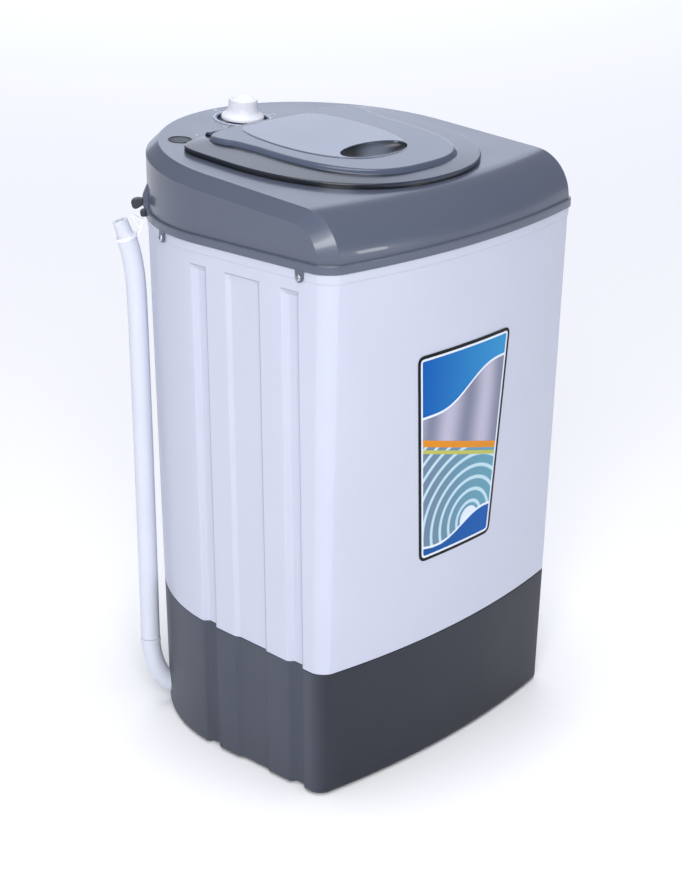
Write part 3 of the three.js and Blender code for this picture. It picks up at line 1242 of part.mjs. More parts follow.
function makeHose() {
  const points = outside(HOSE_ROUTE);
  add('drain_hose', tube(points, DRAIN_RADIUS, 14, { sides: 12, bore: DRAIN_BORE }), HOSE_PLASTIC);
  const end = points.at(-1).clone();
  const along = end.clone().sub(points.at(-2)).normalize();
  const profile = [
    [CUFF_BORE, -CUFF_TAIL], [CUFF_TAIL_RADIUS, -CUFF_TAIL], [CUFF_TAIL_RADIUS, SEAT_GAP],
    [CUFF_COLLAR, SEAT_GAP], [CUFF_COLLAR, 4], [CUFF_RADIUS, 5], [CUFF_RADIUS - 0.5, CUFF_LENGTH],
    [CUFF_BORE, CUFF_LENGTH], [CUFF_BORE, -CUFF_TAIL],
  ];
  const cuff = turned(profile, { sides: 12 });
  cuff.applyQuaternion(new THREE.Quaternion().setFromUnitVectors(new THREE.Vector3(0, 0, 1), along));
  add('hose_cuff', cuff.translate(end.x, end.y, end.z), HOSE_PLASTIC);
}

function makeHanger() {
  const points = outside(HOSE_ROUTE);
  const end = points.at(-1).clone();
  const along = end.clone().sub(points.at(-2)).normalize();
  const inner = CUFF_COLLAR + SEAT_GAP;
  const band = ring(inner, inner + 1.8, SEAT_GAP, 3.7, { sides: 12 });
  band.applyQuaternion(new THREE.Quaternion().setFromUnitVectors(new THREE.Vector3(0, 0, 1), along));
  band.translate(end.x, end.y, end.z);
  const strap = hookPlate(HANGER_STRAP, HANGER_WIDTH);
  const loop = cut(hookPlate(HANGER_LOOP, HANGER_WIDTH), hookPlate(HANGER_HOLE, HANGER_WIDTH + 2));
  add('hose_hanger', join(band, strap, loop), WHITE_PLASTIC);
}

// ---------------------------------------------------------------- assembly

makeBase();
makeFeet();
makeGland();
makeCabinet();
makeLabel();
makeTub();
makeBellows();
makeBasket();
makeBalanceRing();
makeDriveLine();
makeMotor();
makeCarrier();
makeDampers();
makeBrake();
makeCable();
makeCapacitor();
makeCover();
makeCoverScrews();
makeLid();
makeHingePins();
makeTimer();
makeKnob();
makeInlet();
makeLidSwitch();
makeSumpHose();
makeClamps();
makeElbow();
makeHose();
makeHanger();

export default dryer;
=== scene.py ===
"""Looks of a laundry spin dryer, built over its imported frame.

Sizes are in millimetres and become metres when a point is placed. Heights are above the
floor, the bulged front faces -Y, and the drain hose stands at the back left.
"""
import json
import math
from functools import partial

import bmesh
import bpy
from bpy.props import FloatProperty, FloatVectorProperty, PointerProperty
from mathutils import Matrix, Vector


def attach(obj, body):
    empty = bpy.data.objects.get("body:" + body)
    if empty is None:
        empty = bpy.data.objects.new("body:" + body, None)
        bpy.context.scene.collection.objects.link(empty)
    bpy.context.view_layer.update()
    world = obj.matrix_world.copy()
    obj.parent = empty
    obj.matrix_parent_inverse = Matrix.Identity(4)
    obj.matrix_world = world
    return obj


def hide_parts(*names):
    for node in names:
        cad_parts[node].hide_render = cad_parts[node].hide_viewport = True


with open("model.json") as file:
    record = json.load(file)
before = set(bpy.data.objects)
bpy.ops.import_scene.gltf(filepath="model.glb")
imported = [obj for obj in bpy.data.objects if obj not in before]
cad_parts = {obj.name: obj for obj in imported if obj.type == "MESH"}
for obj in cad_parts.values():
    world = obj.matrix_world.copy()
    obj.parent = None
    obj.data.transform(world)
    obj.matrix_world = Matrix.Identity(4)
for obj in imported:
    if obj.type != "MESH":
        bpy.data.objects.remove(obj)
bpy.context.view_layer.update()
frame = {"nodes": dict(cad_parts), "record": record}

bl_info = {
    "name": "Laundry spin dryer",
    "version": (1, 0, 0),
    "blender": (4, 5, 0),
    "location": "View3D > Sidebar > Spin dryer",
    "description": "Builds a laundry spin dryer's casing, lid, dial, basket and drain hose",
    "category": "Add Mesh",
}

MM = 0.001

# Casing outline at the floor and at the rim
WIDTH = (370.6, 379.4)
FRONT_EDGE_Y = (-152, -169.8)
BULGE = (18, 23.6)
CORNER = (14, 19.5)
BACK_Y = (1.5, 4.3)
SKIRT_Z, RIM_BOTTOM, RIM_TOP, CABINET_TOP = 3, 563.6, 572.5, 566.5
FLUTES = ((-131, -108, 6), (-79, -32, 3), (-5, 17, 6))
FLUTE_FRONT, FLUTE_BACK = 2.7, 7.2
FLUTE_TOP, FLUTE_RUNOUT = 541, 7
JOINT_HEIGHT, JOINT_SLOPE = 147.5, 0.036
WALL, BAND_HEIGHT = 3, 13
CORNER_FLAT = 0.3         # how far a front corner's arc is drawn to its chord

# Cover
TOP_HEIGHT, TOP_SLOPE = 630, 0.077
SHOULDER, FRONT_ROUND, COVER_WALL = 13, 46, 2.8
MOUTH_RADIUS, COLLAR_WALL, SPIN_Y = 98, 2.4, -18
LUG_HEIGHT, LUG_RADIUS = 557, 5
TOP_ANGLE = math.atan(TOP_SLOPE)
TOP = Matrix.Translation((0, 0, TOP_HEIGHT * MM)) @ Matrix.Rotation(TOP_ANGLE, 4, "X")

# Lid, in the plane of the sloping top
LID_HALF_WIDTH, LID_MIDDLE_V = 144, 15
LID_FRONT_REACH, LID_BACK_REACH = 166, 78
RECESS = (-5, -61, 45, 21, 9.5)   # middle across and along, and the three radii
LID_CREST, BOWL_WALL = 11.6, 2.6
HINGE_V, HINGE_H, HINGE_RADIUS, EAR_X = 89.8, 5, 4.4, 81
KNOB_V, WELL_RADIUS, WELL_DEPTH = 133, 27.5, 4
INLET, INLET_RADIUS = (-112, 110), 13

# Drain hose: radius from the back round's centre, and height
DRAIN_TURN = math.radians(143)
DRAIN_RADIUS = 10.5
ELBOW_Z, ELBOW_START, ELBOW_REACH, ELBOW_RISE = 24.5, 176, 28, 59
HOSE_ROUTE = (
    (204, 84), (204, 105), (203.9, 150), (203.8, 200), (203.8, 250), (203.8, 300),
    (203.9, 350), (204.1, 400), (204.4, 450), (204.9, 485), (206.1, 505), (208.3, 522),
    (211.4, 536), (212.9, 541),
)

# Drum: foot and top of its pierced wall
DRUM_RADIUS, DRUM_Z, DRUM_SIDES = 120.4, (196, 518), 84

# Front label: its corners, and the middle of its ripples in metres
LABEL_CORNERS = ((-62, 234), (50, 234), (65.5, 461), (-77.5, 461))
LABEL_ROUND, LABEL_LIFT = 9, 0.8
RIPPLE_MIDDLE = (0.012, 0.262)

# Camera, placed to the photograph
CAMERA_PLACE = (-1.47578, -1.37844, 1.07500)
CAMERA_RIGHT = (0.67957, -0.73361, 0)
CAMERA_UP = (0.26362, 0.24420, 0.93320)
CAMERA_BACK = (-0.68461, -0.63418, 0.35935)
FOCAL_PIXELS, PHOTO_HEIGHT, SENSOR = 1981.19, 894, 36


# ------------------------------------------------------------------ sizes and colours

def linear(hex_colour):
    """An sRGB hex colour as linear RGBA."""
    channels = [int(hex_colour[i:i + 2], 16) / 255 for i in (1, 3, 5)]
    return [*(c / 12.92 if c <= 0.04045 else ((c + 0.055) / 1.055) ** 2.4 for c in channels), 1]


def colour(name, hex_colour):
    """A colour that the sidebar shows."""
    return FloatVectorProperty(
        name=name, description=f"Colour of the {name.lower()}", subtype="COLOR", size=4,
        min=0, max=1, default=linear(hex_colour))


class DryerColours(bpy.types.PropertyGroup):
    """Colours of the dryer's plastics"""
    cover: colour("Cover", "#545b6d")
    base: colour("Base", "#4a4f5b")
    cabinet: colour("Cabinet", "#c4c8d8")
    lid: colour("Lid", "#4f586c")
    white: colour("Knob and hose", "#e9ebf2")
    label: colour("Label's blue", "#0056a8")


class DryerSizes(bpy.types.PropertyGroup):
    """Sizes of the drain hose and the basket's holes; the edge radius is not used"""
    edge: FloatProperty(
        name="Edge radius", description="Rounding of moulded edges", unit="LENGTH",
        default=0.0008, min=0.0001, max=0.003)
    hose: FloatProperty(
        name="Hose diameter", description="Outside diameter of the drain hose", unit="LENGTH",
        subtype="DISTANCE", default=2 * DRAIN_RADIUS * MM, min=0.01, max=0.03)
    hole: FloatProperty(
        name="Basket hole web", description="Steel left round each hole of the basket",
        unit="LENGTH", default=0.0021, min=0.0005, max=0.003)


# ------------------------------------------------------------------ mesh helpers

def deselect():
    if bpy.context.mode != "OBJECT":
        bpy.ops.object.mode_set(mode="OBJECT")
    bpy.ops.object.select_all(action="DESELECT")


def pick(*pieces):
    """Selects these pieces alone, the first one active."""
    deselect()
    for piece in pieces:
        piece.select_set(True)
    bpy.context.view_layer.objects.active = pieces[0]


def named(name):
    piece = bpy.context.object
    piece.name = piece.data.name = name
    return piece


def modify(piece, kind, **settings):
    """Adds a modifier and applies it."""
    pick(piece)
    modifier = piece.modifiers.new(kind.title(), kind)
    for key, value in settings.items():
        setattr(modifier, key, value)
    bpy.ops.object.modifier_apply(modifier=modifier.name)


def settle(piece, matrix=None):
    """Puts the piece's place into its mesh."""
    pick(piece)
    if matrix is not None:
        piece.matrix_world = matrix @ piece.matrix_world
    bpy.ops.object.transform_apply(location=True, rotation=True, scale=True)
    return piece


def smooth(piece, degrees=35, edge=0.0, segments=2):
    """Rounds the sharp edges by edge metres, and shades the rest smooth."""
    if edge > 0:
        modify(piece, "BEVEL", width=edge, segments=segments, limit_method="ANGLE",
               angle_limit=math.radians(degrees), use_clamp_overlap=True)
    pick(piece)
    bpy.ops.object.shade_smooth_by_angle(angle=math.radians(degrees))
    modify(piece, "WEIGHTED_NORMAL", keep_sharp=True)
    return piece


def place_ring(piece, ring, number):
    """Moves the selected ring of corners to these points."""
    shape = bmesh.from_edit_mesh(piece.data)
    order, level = (shape.verts.layers.int[key] for key in ("order", "level"))
    for corner in shape.verts:
        if corner.select:
            corner.co = Vector(ring[corner[order]]) * MM
            corner[level] = number
    bmesh.update_edit_mesh(piece.data)


def pick_rings(piece, *numbers):
    shape = bmesh.from_edit_mesh(piece.data)
    level = shape.verts.layers.int["level"]
    for corner in shape.verts:
        corner.select = corner[level] in numbers
    shape.select_flush_mode()
    for edge in shape.edges:
        edge.select = all(c.select for c in edge.verts) and (
            edge.verts[0][level] == edge.verts[1][level])
    bmesh.update_edit_mesh(piece.data)


def skin(name, rings, endless=False, caps=(True, True)):
    """A skin drawn up ring by ring from a circle, filled at its ends or joined to itself."""
    deselect()
    bpy.ops.mesh.primitive_circle_add(vertices=len(rings[0]), radius=0.1)
    piece = named(name)
    bpy.ops.object.mode_set(mode="EDIT")
    bpy.ops.mesh.select_mode(type="VERT")
    shape = bmesh.from_edit_mesh(piece.data)
    for key in ("order", "level"):
        shape.verts.layers.int.new(key)
    order = shape.verts.layers.int["order"]
    for i, corner in enumerate(shape.verts):
        corner[order] = i
    bmesh.update_edit_mesh(piece.data)
    bpy.ops.mesh.select_all(action="SELECT")
    place_ring(piece, rings[0], 0)
    for number, ring in enumerate(rings[1:], 1):
        bpy.ops.mesh.extrude_edges_move()
        place_ring(piece, ring, number)
    last = len(rings) - 1
    if endless:
        bpy.ops.mesh.select_mode(type="EDGE")
        bpy.ops.mesh.select_all(action="DESELECT")
        bpy.ops.mesh.select_non_manifold()
        bpy.ops.mesh.bridge_edge_loops()
    for number, filled in ((0, caps[0]), (last, caps[1])):
        if filled and not endless:
            pick_rings(piece, number)
            bpy.ops.mesh.edge_face_add()
    bpy.ops.mesh.select_all(action="SELECT")
    bpy.ops.mesh.normals_make_consistent(inside=False)
    bpy.ops.object.mode_set(mode="OBJECT")
    for key in ("order", "level"):
        piece.data.attributes.remove(piece.data.attributes[key])
    return piece


def circle(radius, z, sides=64, x=0.0, y=0.0):
    step = 2 * math.pi / sides
    return [(x + radius * math.cos(i * step), y + radius * math.sin(i * step), z)
            for i in range(sides)]


def turned(name, profile, sides=64, x=0.0, y=0.0, endless=False):
    """A round body from [radius, height] points."""
    return skin(name, [circle(max(r, 0.05), z, sides, x, y) for r, z in profile], endless)


def rod(name, radius, z0, z1, sides=48, x=0.0, y=0.0):
    return turned(name, ((radius, z0), (radius, z1)), sides, x, y)


def block(name, x0, x1, y0, y1, z0, z1):
    deselect()
    bpy.ops.mesh.primitive_cube_add(size=1, location=(
        (x0 + x1) / 2 * MM, (y0 + y1) / 2 * MM, (z0 + z1) / 2 * MM))
    piece = named(name)
    piece.scale = ((x1 - x0) * MM, (y1 - y0) * MM, (z1 - z0) * MM)
    return settle(piece)


def joined(name, *pieces):
    """These pieces as one object."""
    pick(*pieces)
    bpy.ops.object.join()
    return named(name)


def carve(piece, tool, operation="DIFFERENCE"):
    """Cuts the tool out of the piece, or adds it, and removes the tool."""
    modify(piece, "BOOLEAN", object=tool, operation=operation, solver="FAST")
    bpy.data.objects.remove(tool, do_unlink=True)
    return piece


def hull(name, outline, thickness, matrix):
    """A flat outline in [across, up] points with a thickness centred on its plane."""
    rings = [[(u, w, side * thickness / 2) for u, w in outline] for side in (-1, 1)]
    return settle(skin(name, rings), matrix)


def along_curve(points, steps):
    """Points of a smooth curve through the given ones, evenly spread in each span."""
    ends = [points[0] * 2 - points[1], *points, points[-1] * 2 - points[-2]]
    curve = []
    for a, b, c, d in zip(ends, ends[1:], ends[2:], ends[3:]):
        for i in range(steps):
            t = i / steps
            curve.append(0.5 * (
                2 * b + (c - a) * t + (2 * a - 5 * b + 4 * c - d) * t ** 2
                + (3 * b - a - 3 * c + d) * t ** 3))
    return [*curve, points[-1]]


def pipe(name, points, radii, sides=32):
    """A round body along points, all in one upright plane through the Z axis's direction."""
    rings = []
    across = Vector((-math.sin(DRAIN_TURN), math.cos(DRAIN_TURN), 0))
    for i, point in enumerate(points):
        ahead = points[min(i + 1, len(points) - 1)] - points[max(i - 1, 0)]
        rise = across.cross(ahead.normalized())
        rings.append([
            tuple(point + radii[i] * (across * math.cos(a) + rise * math.sin(a)))
            for a in (2 * math.pi * k / sides for k in range(sides))])
    return skin(name, rings)


def pierce(sheet, web, thickness):
    """Opens every face of a sheet, leaving a web of this width round the holes."""
    pick(sheet)
    bpy.ops.object.mode_set(mode="EDIT")
    bpy.ops.mesh.select_mode(type="FACE")
    bpy.ops.mesh.select_all(action="SELECT")
    bpy.ops.mesh.inset(thickness=web, use_individual=True)
    bpy.ops.mesh.delete(type="FACE")
    bpy.ops.object.mode_set(mode="OBJECT")
    modify(sheet, "SOLIDIFY", thickness=thickness, offset=-1)


def open_mesh(piece):
    """Opens the piece for editing, with all of it selected."""
    pick(piece)
    bpy.ops.object.mode_set(mode="EDIT")
    bpy.ops.mesh.select_all(action="SELECT")


def heal(piece, near):
    """Merges corners closer than this many metres, and drops what is left without an area."""
    open_mesh(piece)
    bpy.ops.mesh.remove_doubles(threshold=near)
    bpy.ops.mesh.dissolve_degenerate(threshold=near)
    bpy.ops.object.mode_set(mode="OBJECT")


def copy_of(node, degrees=30, edge=0.0):
    """A CAD node's shape with its triangles joined up and its edges rounded."""
    source = frame["nodes"][node]
    piece = source.copy()
    piece.data = source.data.copy()
    piece.name = piece.data.name = f"{node}_finish"
    bpy.context.scene.collection.objects.link(piece)
    piece.parent = None
    piece.matrix_world = Matrix.Identity(4)
    open_mesh(piece)
    bpy.ops.mesh.remove_doubles(threshold=0.00002)
    bpy.ops.mesh.dissolve_limited(angle_limit=math.radians(1))
    bpy.ops.object.mode_set(mode="OBJECT")
    return smooth(piece, degrees, edge)


def give(piece, material):
    piece.data.materials.clear()
    piece.data.materials.append(material)
    return piece


def fit(piece, finish, body, node=None):
    """Finishes the piece and joins it to a body. With a node, it takes that solid's place."""
    give(piece, materials[finish])
    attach(piece, body)
    if node:
        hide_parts(node)
    return piece


# ------------------------------------------------------------------ casing outline

def casing_size(z):
    t = (z - SKIRT_Z) / (RIM_BOTTOM - SKIRT_Z)
    return [a + (b - a) * t for a, b in (
        (WIDTH[0] / 2, WIDTH[1] / 2), FRONT_EDGE_Y, BULGE, CORNER, BACK_Y)]


def ease(t):
    t = min(max(t, 0), 1)
    return t * t * (3 - 2 * t)


def half_outline(z, grow, fluting):
    """From the middle of the front, round the right side, to the middle of the back."""
    half, edge_y, bulge, corner, back_y = casing_size(z)
    radius = (half * half + bulge * bulge) / (2 * bulge) + grow
    centre_y = edge_y - bulge - grow + radius
    side = half + grow
    corner_radius = max(corner + grow, 2)
    corner_x = side - corner_radius
    corner_y = centre_y - math.sqrt((radius - corner_radius) ** 2 - corner_x ** 2)
    turn = math.atan2(corner_y - centre_y, corner_x)
    points = []
    front_steps, corner_steps, back_steps = 18, 8, 36
    for i in range(front_steps):
        a = -math.pi / 2 + (turn + math.pi / 2) * i / front_steps
        points.append((radius * math.cos(a), centre_y + radius * math.sin(a)))
    first = Vector((math.cos(turn), math.sin(turn)))
    for i in range(corner_steps + 1):
        share = i / corner_steps
        a = turn * (1 - share)
        arc = Vector((math.cos(a), math.sin(a)))
        flat = first.lerp(Vector((1, 0)), share)
        points.append(Vector((corner_x, corner_y)) + corner_radius * arc.lerp(flat, CORNER_FLAT))

    def side_x(y):
        return math.sqrt(side ** 2 - (y - back_y) ** 2) if y > back_y else side

    foremost, hindmost = FLUTES[0][0], FLUTES[-1][1]
    squeeze = min((hindmost - corner_y - 1) / (hindmost - foremost), 1)
    for front, back, depth in FLUTES:
        slope = [FLUTE_FRONT * i / 4 for i in range(5)]
        rise = [back - front - FLUTE_BACK * (1 - i / 5) for i in range(6)]
        for along in (*slope, *rise):
            down = ease(along / FLUTE_FRONT) * ease((back - front - along) / FLUTE_BACK)
            y = hindmost - (hindmost - front - along) * squeeze
            points.append((side_x(y) - depth * fluting * down, y))
    first = math.asin((hindmost - back_y) / side)
    for i in range(1, back_steps + 1):
        a = first + (math.pi / 2 - first) * i / back_steps
        points.append((side * math.cos(a), back_y + side * math.sin(a)))
    return points


def casing_ring(z, grow=0.0, fluting=1.0, height=None):
    half = half_outline(z, grow, fluting)
    whole = half + [(-x, y) for x, y in reversed(half[1:-1])]
    return [(x, y, z if height is None else height(x, y)) for x, y in whole]


def joint_ring(grow, rise):
    return casing_ring(JOINT_HEIGHT, grow, 1, lambda x, y: JOINT_HEIGHT + JOINT_SLOPE * y + rise)


def level_ring(grow, z):
    """The rim's outline, level at one height."""
    return casing_ring(RIM_BOTTOM, grow, 0, lambda x, y: z)


def top_z(y):
    return TOP_HEIGHT + TOP_SLOPE * y


def in_drain_plane(radius, z):
    return Vector((radius * math.cos(DRAIN_TURN), BACK_Y[1] + radius * math.sin(DRAIN_TURN), z))


# In this plane, a plate's across is the radius and its up is the height
DRAIN_PLANE = (
    Matrix.Translation((0, BACK_Y[1] * MM, 0)) @ Matrix.Rotation(DRAIN_TURN, 4, "Z")
    @ Matrix.Rotation(math.pi / 2, 4, "X"))


# ------------------------------------------------------------------ materials

def add_node(tree, kind, sockets=(), output=0, **settings):
    """Adds a node and gives one output. Sockets maps inputs to values or to other outputs."""
    made = tree.nodes.new(f"ShaderNode{kind}")
    for key, value in settings.items():
        setattr(made, key, value)
    for key, value in dict(sockets).items():
        if isinstance(value, bpy.types.NodeSocket):
            tree.links.new(value, made.inputs[key])
        else:
            made.inputs[key].default_value = value
    return made.outputs[output] if made.outputs else None


def blank(name):
    """An empty material, what adds its nodes, and its Object coordinates."""
    material = bpy.data.materials.new(name)
    material.use_nodes = True
    material.node_tree.nodes.clear()
    node = partial(add_node, material.node_tree)
    return material, node, node("TexCoord", output="Object")


def plastic(name, tone, shade, roughness, grain_mm=0.7, grain=0.12, coat=0.0, lines=None,
            gleam=0.5):
    """Moulded plastic: a fine eroded grain, slow colour drift and a little uneven gloss."""
    material, node, place = blank(name)
    drift = node("TexNoise", {"Vector": place, "Scale": 1 / (90 * MM), "Detail": 3.0})
    tint = node("Mix", {"Factor": drift, 6: tone, 7: shade}, 2, data_type="RGBA")
    # Each lines hook paints shade over the tint
    if lines:
        tint = lines(node, place, tint)
    handled = node("TexNoise", {"Vector": place, "Scale": 1 / (60 * MM), "Detail": 2.0})
    gloss = node("MapRange", {
        "Value": handled, "From Min": 0.3, "From Max": 0.7,
        "To Min": roughness - 0.02, "To Max": roughness + 0.03})
    eroded = node("TexNoise", {"Vector": place, "Scale": 1 / (grain_mm * MM), "Detail": 2.0})
    bump = node("Bump", {"Height": eroded, "Strength": grain, "Distance": 0.0002})
    node("OutputMaterial", {"Surface": node("BsdfPrincipled", {
        "Base Color": tint, "Roughness": gloss, "Normal": bump, "IOR": 1.49,
        "Specular IOR Level": gleam, "Coat Weight": coat, "Coat Roughness": 0.05})})
    return material


def metal(name, tone, roughness, brushed_mm=0.6, turned_round=False):
    """Steel or aluminium: fine drawn or turned lines in its gloss."""
    material, node, place = blank(name)
    stretch = (0.05, 0.05, 1) if turned_round else (1, 1, 0.03)
    lines = node("Mapping", {"Vector": place, "Scale": stretch})
    drawn = node("TexNoise", {"Vector": lines, "Scale": 1 / (brushed_mm * MM), "Detail": 3.0})
    gloss = node("MapRange", {
        "Value": drawn, "To Min": roughness - 0.08, "To Max": roughness + 0.12})
    bump = node("Bump", {"Height": drawn, "Strength": 0.08, "Distance": 0.0001})
    node("OutputMaterial", {"Surface": node("BsdfPrincipled", {
        "Base Color": tone, "Metallic": 1.0, "Roughness": gloss, "Normal": bump})})
    return material


def layered(node, tint, *coats):
    """Lays coats of colour over a tint in turn, each where its factor is 1."""
    for factor, coat in coats:
        tint = node("Mix", {"Factor": factor, 6: tint, 7: coat}, 2, data_type="RGBA")
    return tint


def band(node, value, low, high, soft):
    """1 from low to high, fading out over a soft width on both sides."""
    rise = node("MapRange", {"Value": value, "From Min": low - soft, "From Max": low})
    fall = node("MapRange", {
        "Value": value, "From Min": high, "From Max": high + soft, "To Min": 1.0, "To Max": 0.0})
    return node("Math", {0: rise, 1: fall}, operation="MULTIPLY")


def over_top(node, place):
    """Height over the sloping top, counted from the top's height at the middle."""
    axes = node("SeparateXYZ", {"Vector": place}).node.outputs
    climb = node("Math", {0: axes["Y"], 1: TOP_SLOPE}, operation="MULTIPLY")
    return node("Math", {0: axes["Z"], 1: climb}, operation="SUBTRACT")


def flute_creases(node, place, tint):
    """Painted shade along each flute's front edge, over its top and under the band."""
    axes = node("SeparateXYZ", {"Vector": place}).node.outputs
    under = node("MapRange", {
        "Value": axes["Z"], "From Min": (FLUTE_TOP + 0.4) * MM,
        "From Max": (FLUTE_TOP + 0.9) * MM, "To Min": 1.0, "To Max": 0.0})
    top = band(node, axes["Z"], (FLUTE_TOP - 0.5) * MM, (FLUTE_TOP + 0.5) * MM, 0.0004)
    ledge = CABINET_TOP - BAND_HEIGHT
    line = band(node, axes["Z"], (ledge - 0.1) * MM, (ledge + 0.3) * MM, 0.0004)
    crease_shade = node("Math", {0: line, 1: 0.35}, operation="MULTIPLY")
    for front, back, _ in FLUTES:
        edge = band(node, axes["Y"], (front - 0.4) * MM, (front + 0.5) * MM, 0.0008)
        lip = band(node, axes["Y"], front * MM, (back - 2) * MM, 0.003)
        for mark, reach in ((edge, under), (lip, top)):
            shaded = node("Math", {0: mark, 1: reach}, operation="MULTIPLY")
            crease_shade = node("Math", {0: crease_shade, 1: shaded}, operation="MAXIMUM")
    crease_shade = node("Math", {0: crease_shade, 1: 0.75}, operation="MULTIPLY")
    return layered(node, tint, (crease_shade, linear("#8d92a3")))


def front_tone(node, place, tint):
    """Painted shade: the bulged front is darker than the sides."""
    front = node("MapRange", {
        "Value": node("SeparateXYZ", {"Vector": place}, "Y"), "From Min": -0.16,
        "From Max": -0.135, "To Min": 1.0, "To Max": 0.0}, interpolation_type="SMOOTHSTEP")
    return layered(node, tint, (front, linear("#282c36")))


def panel_outline(node, place, tint):
    """Painted shade in a line round the clear panel, strongest on its right side."""
    line = node("MapRange", {
        "Value": over_top(node, place), "From Min": (TOP_HEIGHT + 11.85) * MM,
        "From Max": (TOP_HEIGHT + 11.95) * MM, "To Min": 1.0, "To Max": 0.0})
    right = node("MapRange", {
        "Value": node("SeparateXYZ", {"Vector": place}, "X"), "From Min": -0.03,
        "From Max": 0.03, "To Min": 0.35, "To Max": 1.0})
    dark = node("Math", {0: line, 1: right}, operation="MULTIPLY")
    return layered(node, tint, (dark, linear("#2a2f3b")))


def recess_shade(node, place, tint):
    """Painted shade in the finger recess, as if the dark below showed through its clear floor,
    paler in the middle.
    """
    spot = node("Mapping", {"Vector": place, "Location": (-0.009, 0.051, 0)})
    flat = node("VectorMath", {0: spot, 1: (1 / 0.022, 1 / 0.011, 0)}, operation="MULTIPLY")
    away = node("VectorMath", {0: flat}, "Value", operation="LENGTH")
    pale = node("MapRange", {
        "Value": away, "From Min": 0.3, "From Max": 1.4, "To Min": 1.0, "To Max": 0.0,
        }, interpolation_type="SMOOTHSTEP")
    return layered(node, tint, (pale, linear("#5d6674")))


def make_materials():
    """Every finish of the dryer, by name."""
    paint = bpy.context.scene.dryer_colours
    return {
        # Moulded polypropylene: satin, with a broad soft highlight over the front roll
        "cover": plastic("polypropylene_cover", paint.cover, linear("#505768"), 0.3, coat=0.3),
        # The same, eroded a little coarser, so it stays duller than the cover, with painted shade
        # darkening its bulged front
        "base": plastic("polypropylene_base", paint.base, linear("#444954"), 0.46, 0.9,
                        lines=front_tone, gleam=0.3),
        # Polished polypropylene: a clear sheen, faintly lavender, with painted shade along its
        # flutes
        "cabinet": plastic("polypropylene_cabinet", paint.cabinet, linear("#c0c4d5"), 0.34,
                           0.9, 0.04, lines=flute_creases),
        # Moulded white ABS: smooth, with a small bright highlight
        "white": plastic("abs_white", paint.white, linear("#eceff8"), 0.3, 0.8, 0.03),
        # Soft PVC: milky and a little waxy
        "hose": plastic("pvc_hose", linear("#d8dce8"), linear("#ced2df"), 0.38, 1.2, 0.06),
        # Moulded dark nylon: dull, with a dry grain
        "dark": plastic("nylon_dark", linear("#24272e"), linear("#2e323a"), 0.4, 0.8, 0.1),
        # Moulded black rubber: matt and grainy
        "rubber": plastic("rubber_black", linear("#18191b"), linear("#202124"), 0.75, 0.6, 0.3),
        # Tinted acrylic: a clear gloss, with painted shade along its edge
        "panel": plastic("acrylic_panel", linear("#6f768b"), linear("#666d82"), 0.2, 1.5, 0.02,
                         0.3, panel_outline),
        # The same acrylic in the finger recess: nearly black painted shade, paler in the middle
        "recess": plastic("acrylic_recess", linear("#14171d"), linear("#1d2129"), 0.3, 1.5,
                          0.02, lines=recess_shade),
        # Moulded pale ABS: smooth
        "ring": plastic("abs_ring", linear("#b9c1d4"), linear("#aeb6ca"), 0.3, 0.8, 0.03),
        # Pressed phenolic card: cream and dull
        "can": plastic("phenolic_can", linear("#d9d4c6"), linear("#cdc7b6"), 0.5),
        # Screen-printed ink: flat white
        "ink": plastic("printed_ink", linear("#e8ebf2"), linear("#dfe3ec"), 0.5, 1.0, 0.05),
        # Printed film: deep black, hardly glossy
        "border": plastic("film_black_border", linear("#050609"), linear("#08090d"), 0.3, 2,
                          0.02, gleam=0.15),
        # Printed film: cool white, a little glossy
        "inline": plastic("film_white_inline", linear("#dfe6f2"), linear("#d6deec"), 0.25, 2,
                          0.02),
        # Zinc-plated steel, drawn: a bright, slightly uneven gloss
        "steel": metal("steel_zinc_plated", linear("#b9bcc4"), 0.3),
        # Stainless sheet, rolled: fine lines round the drum
        "basket": metal("stainless_basket", linear("#c5c8cc"), 0.26, 0.5, True),
        # Cast aluminium, turned: a broad grey sheen
        "aluminium": metal("aluminium_cast", linear("#9da1a6"), 0.5, 0.9, True),
        # Sintered bronze-coloured brass: dull and warm
        "brass": metal("brass_sintered", linear("#a5834a"), 0.42),
        "lid": smoky_lid(paint.lid),
        "label": label_print(paint.label),
    }


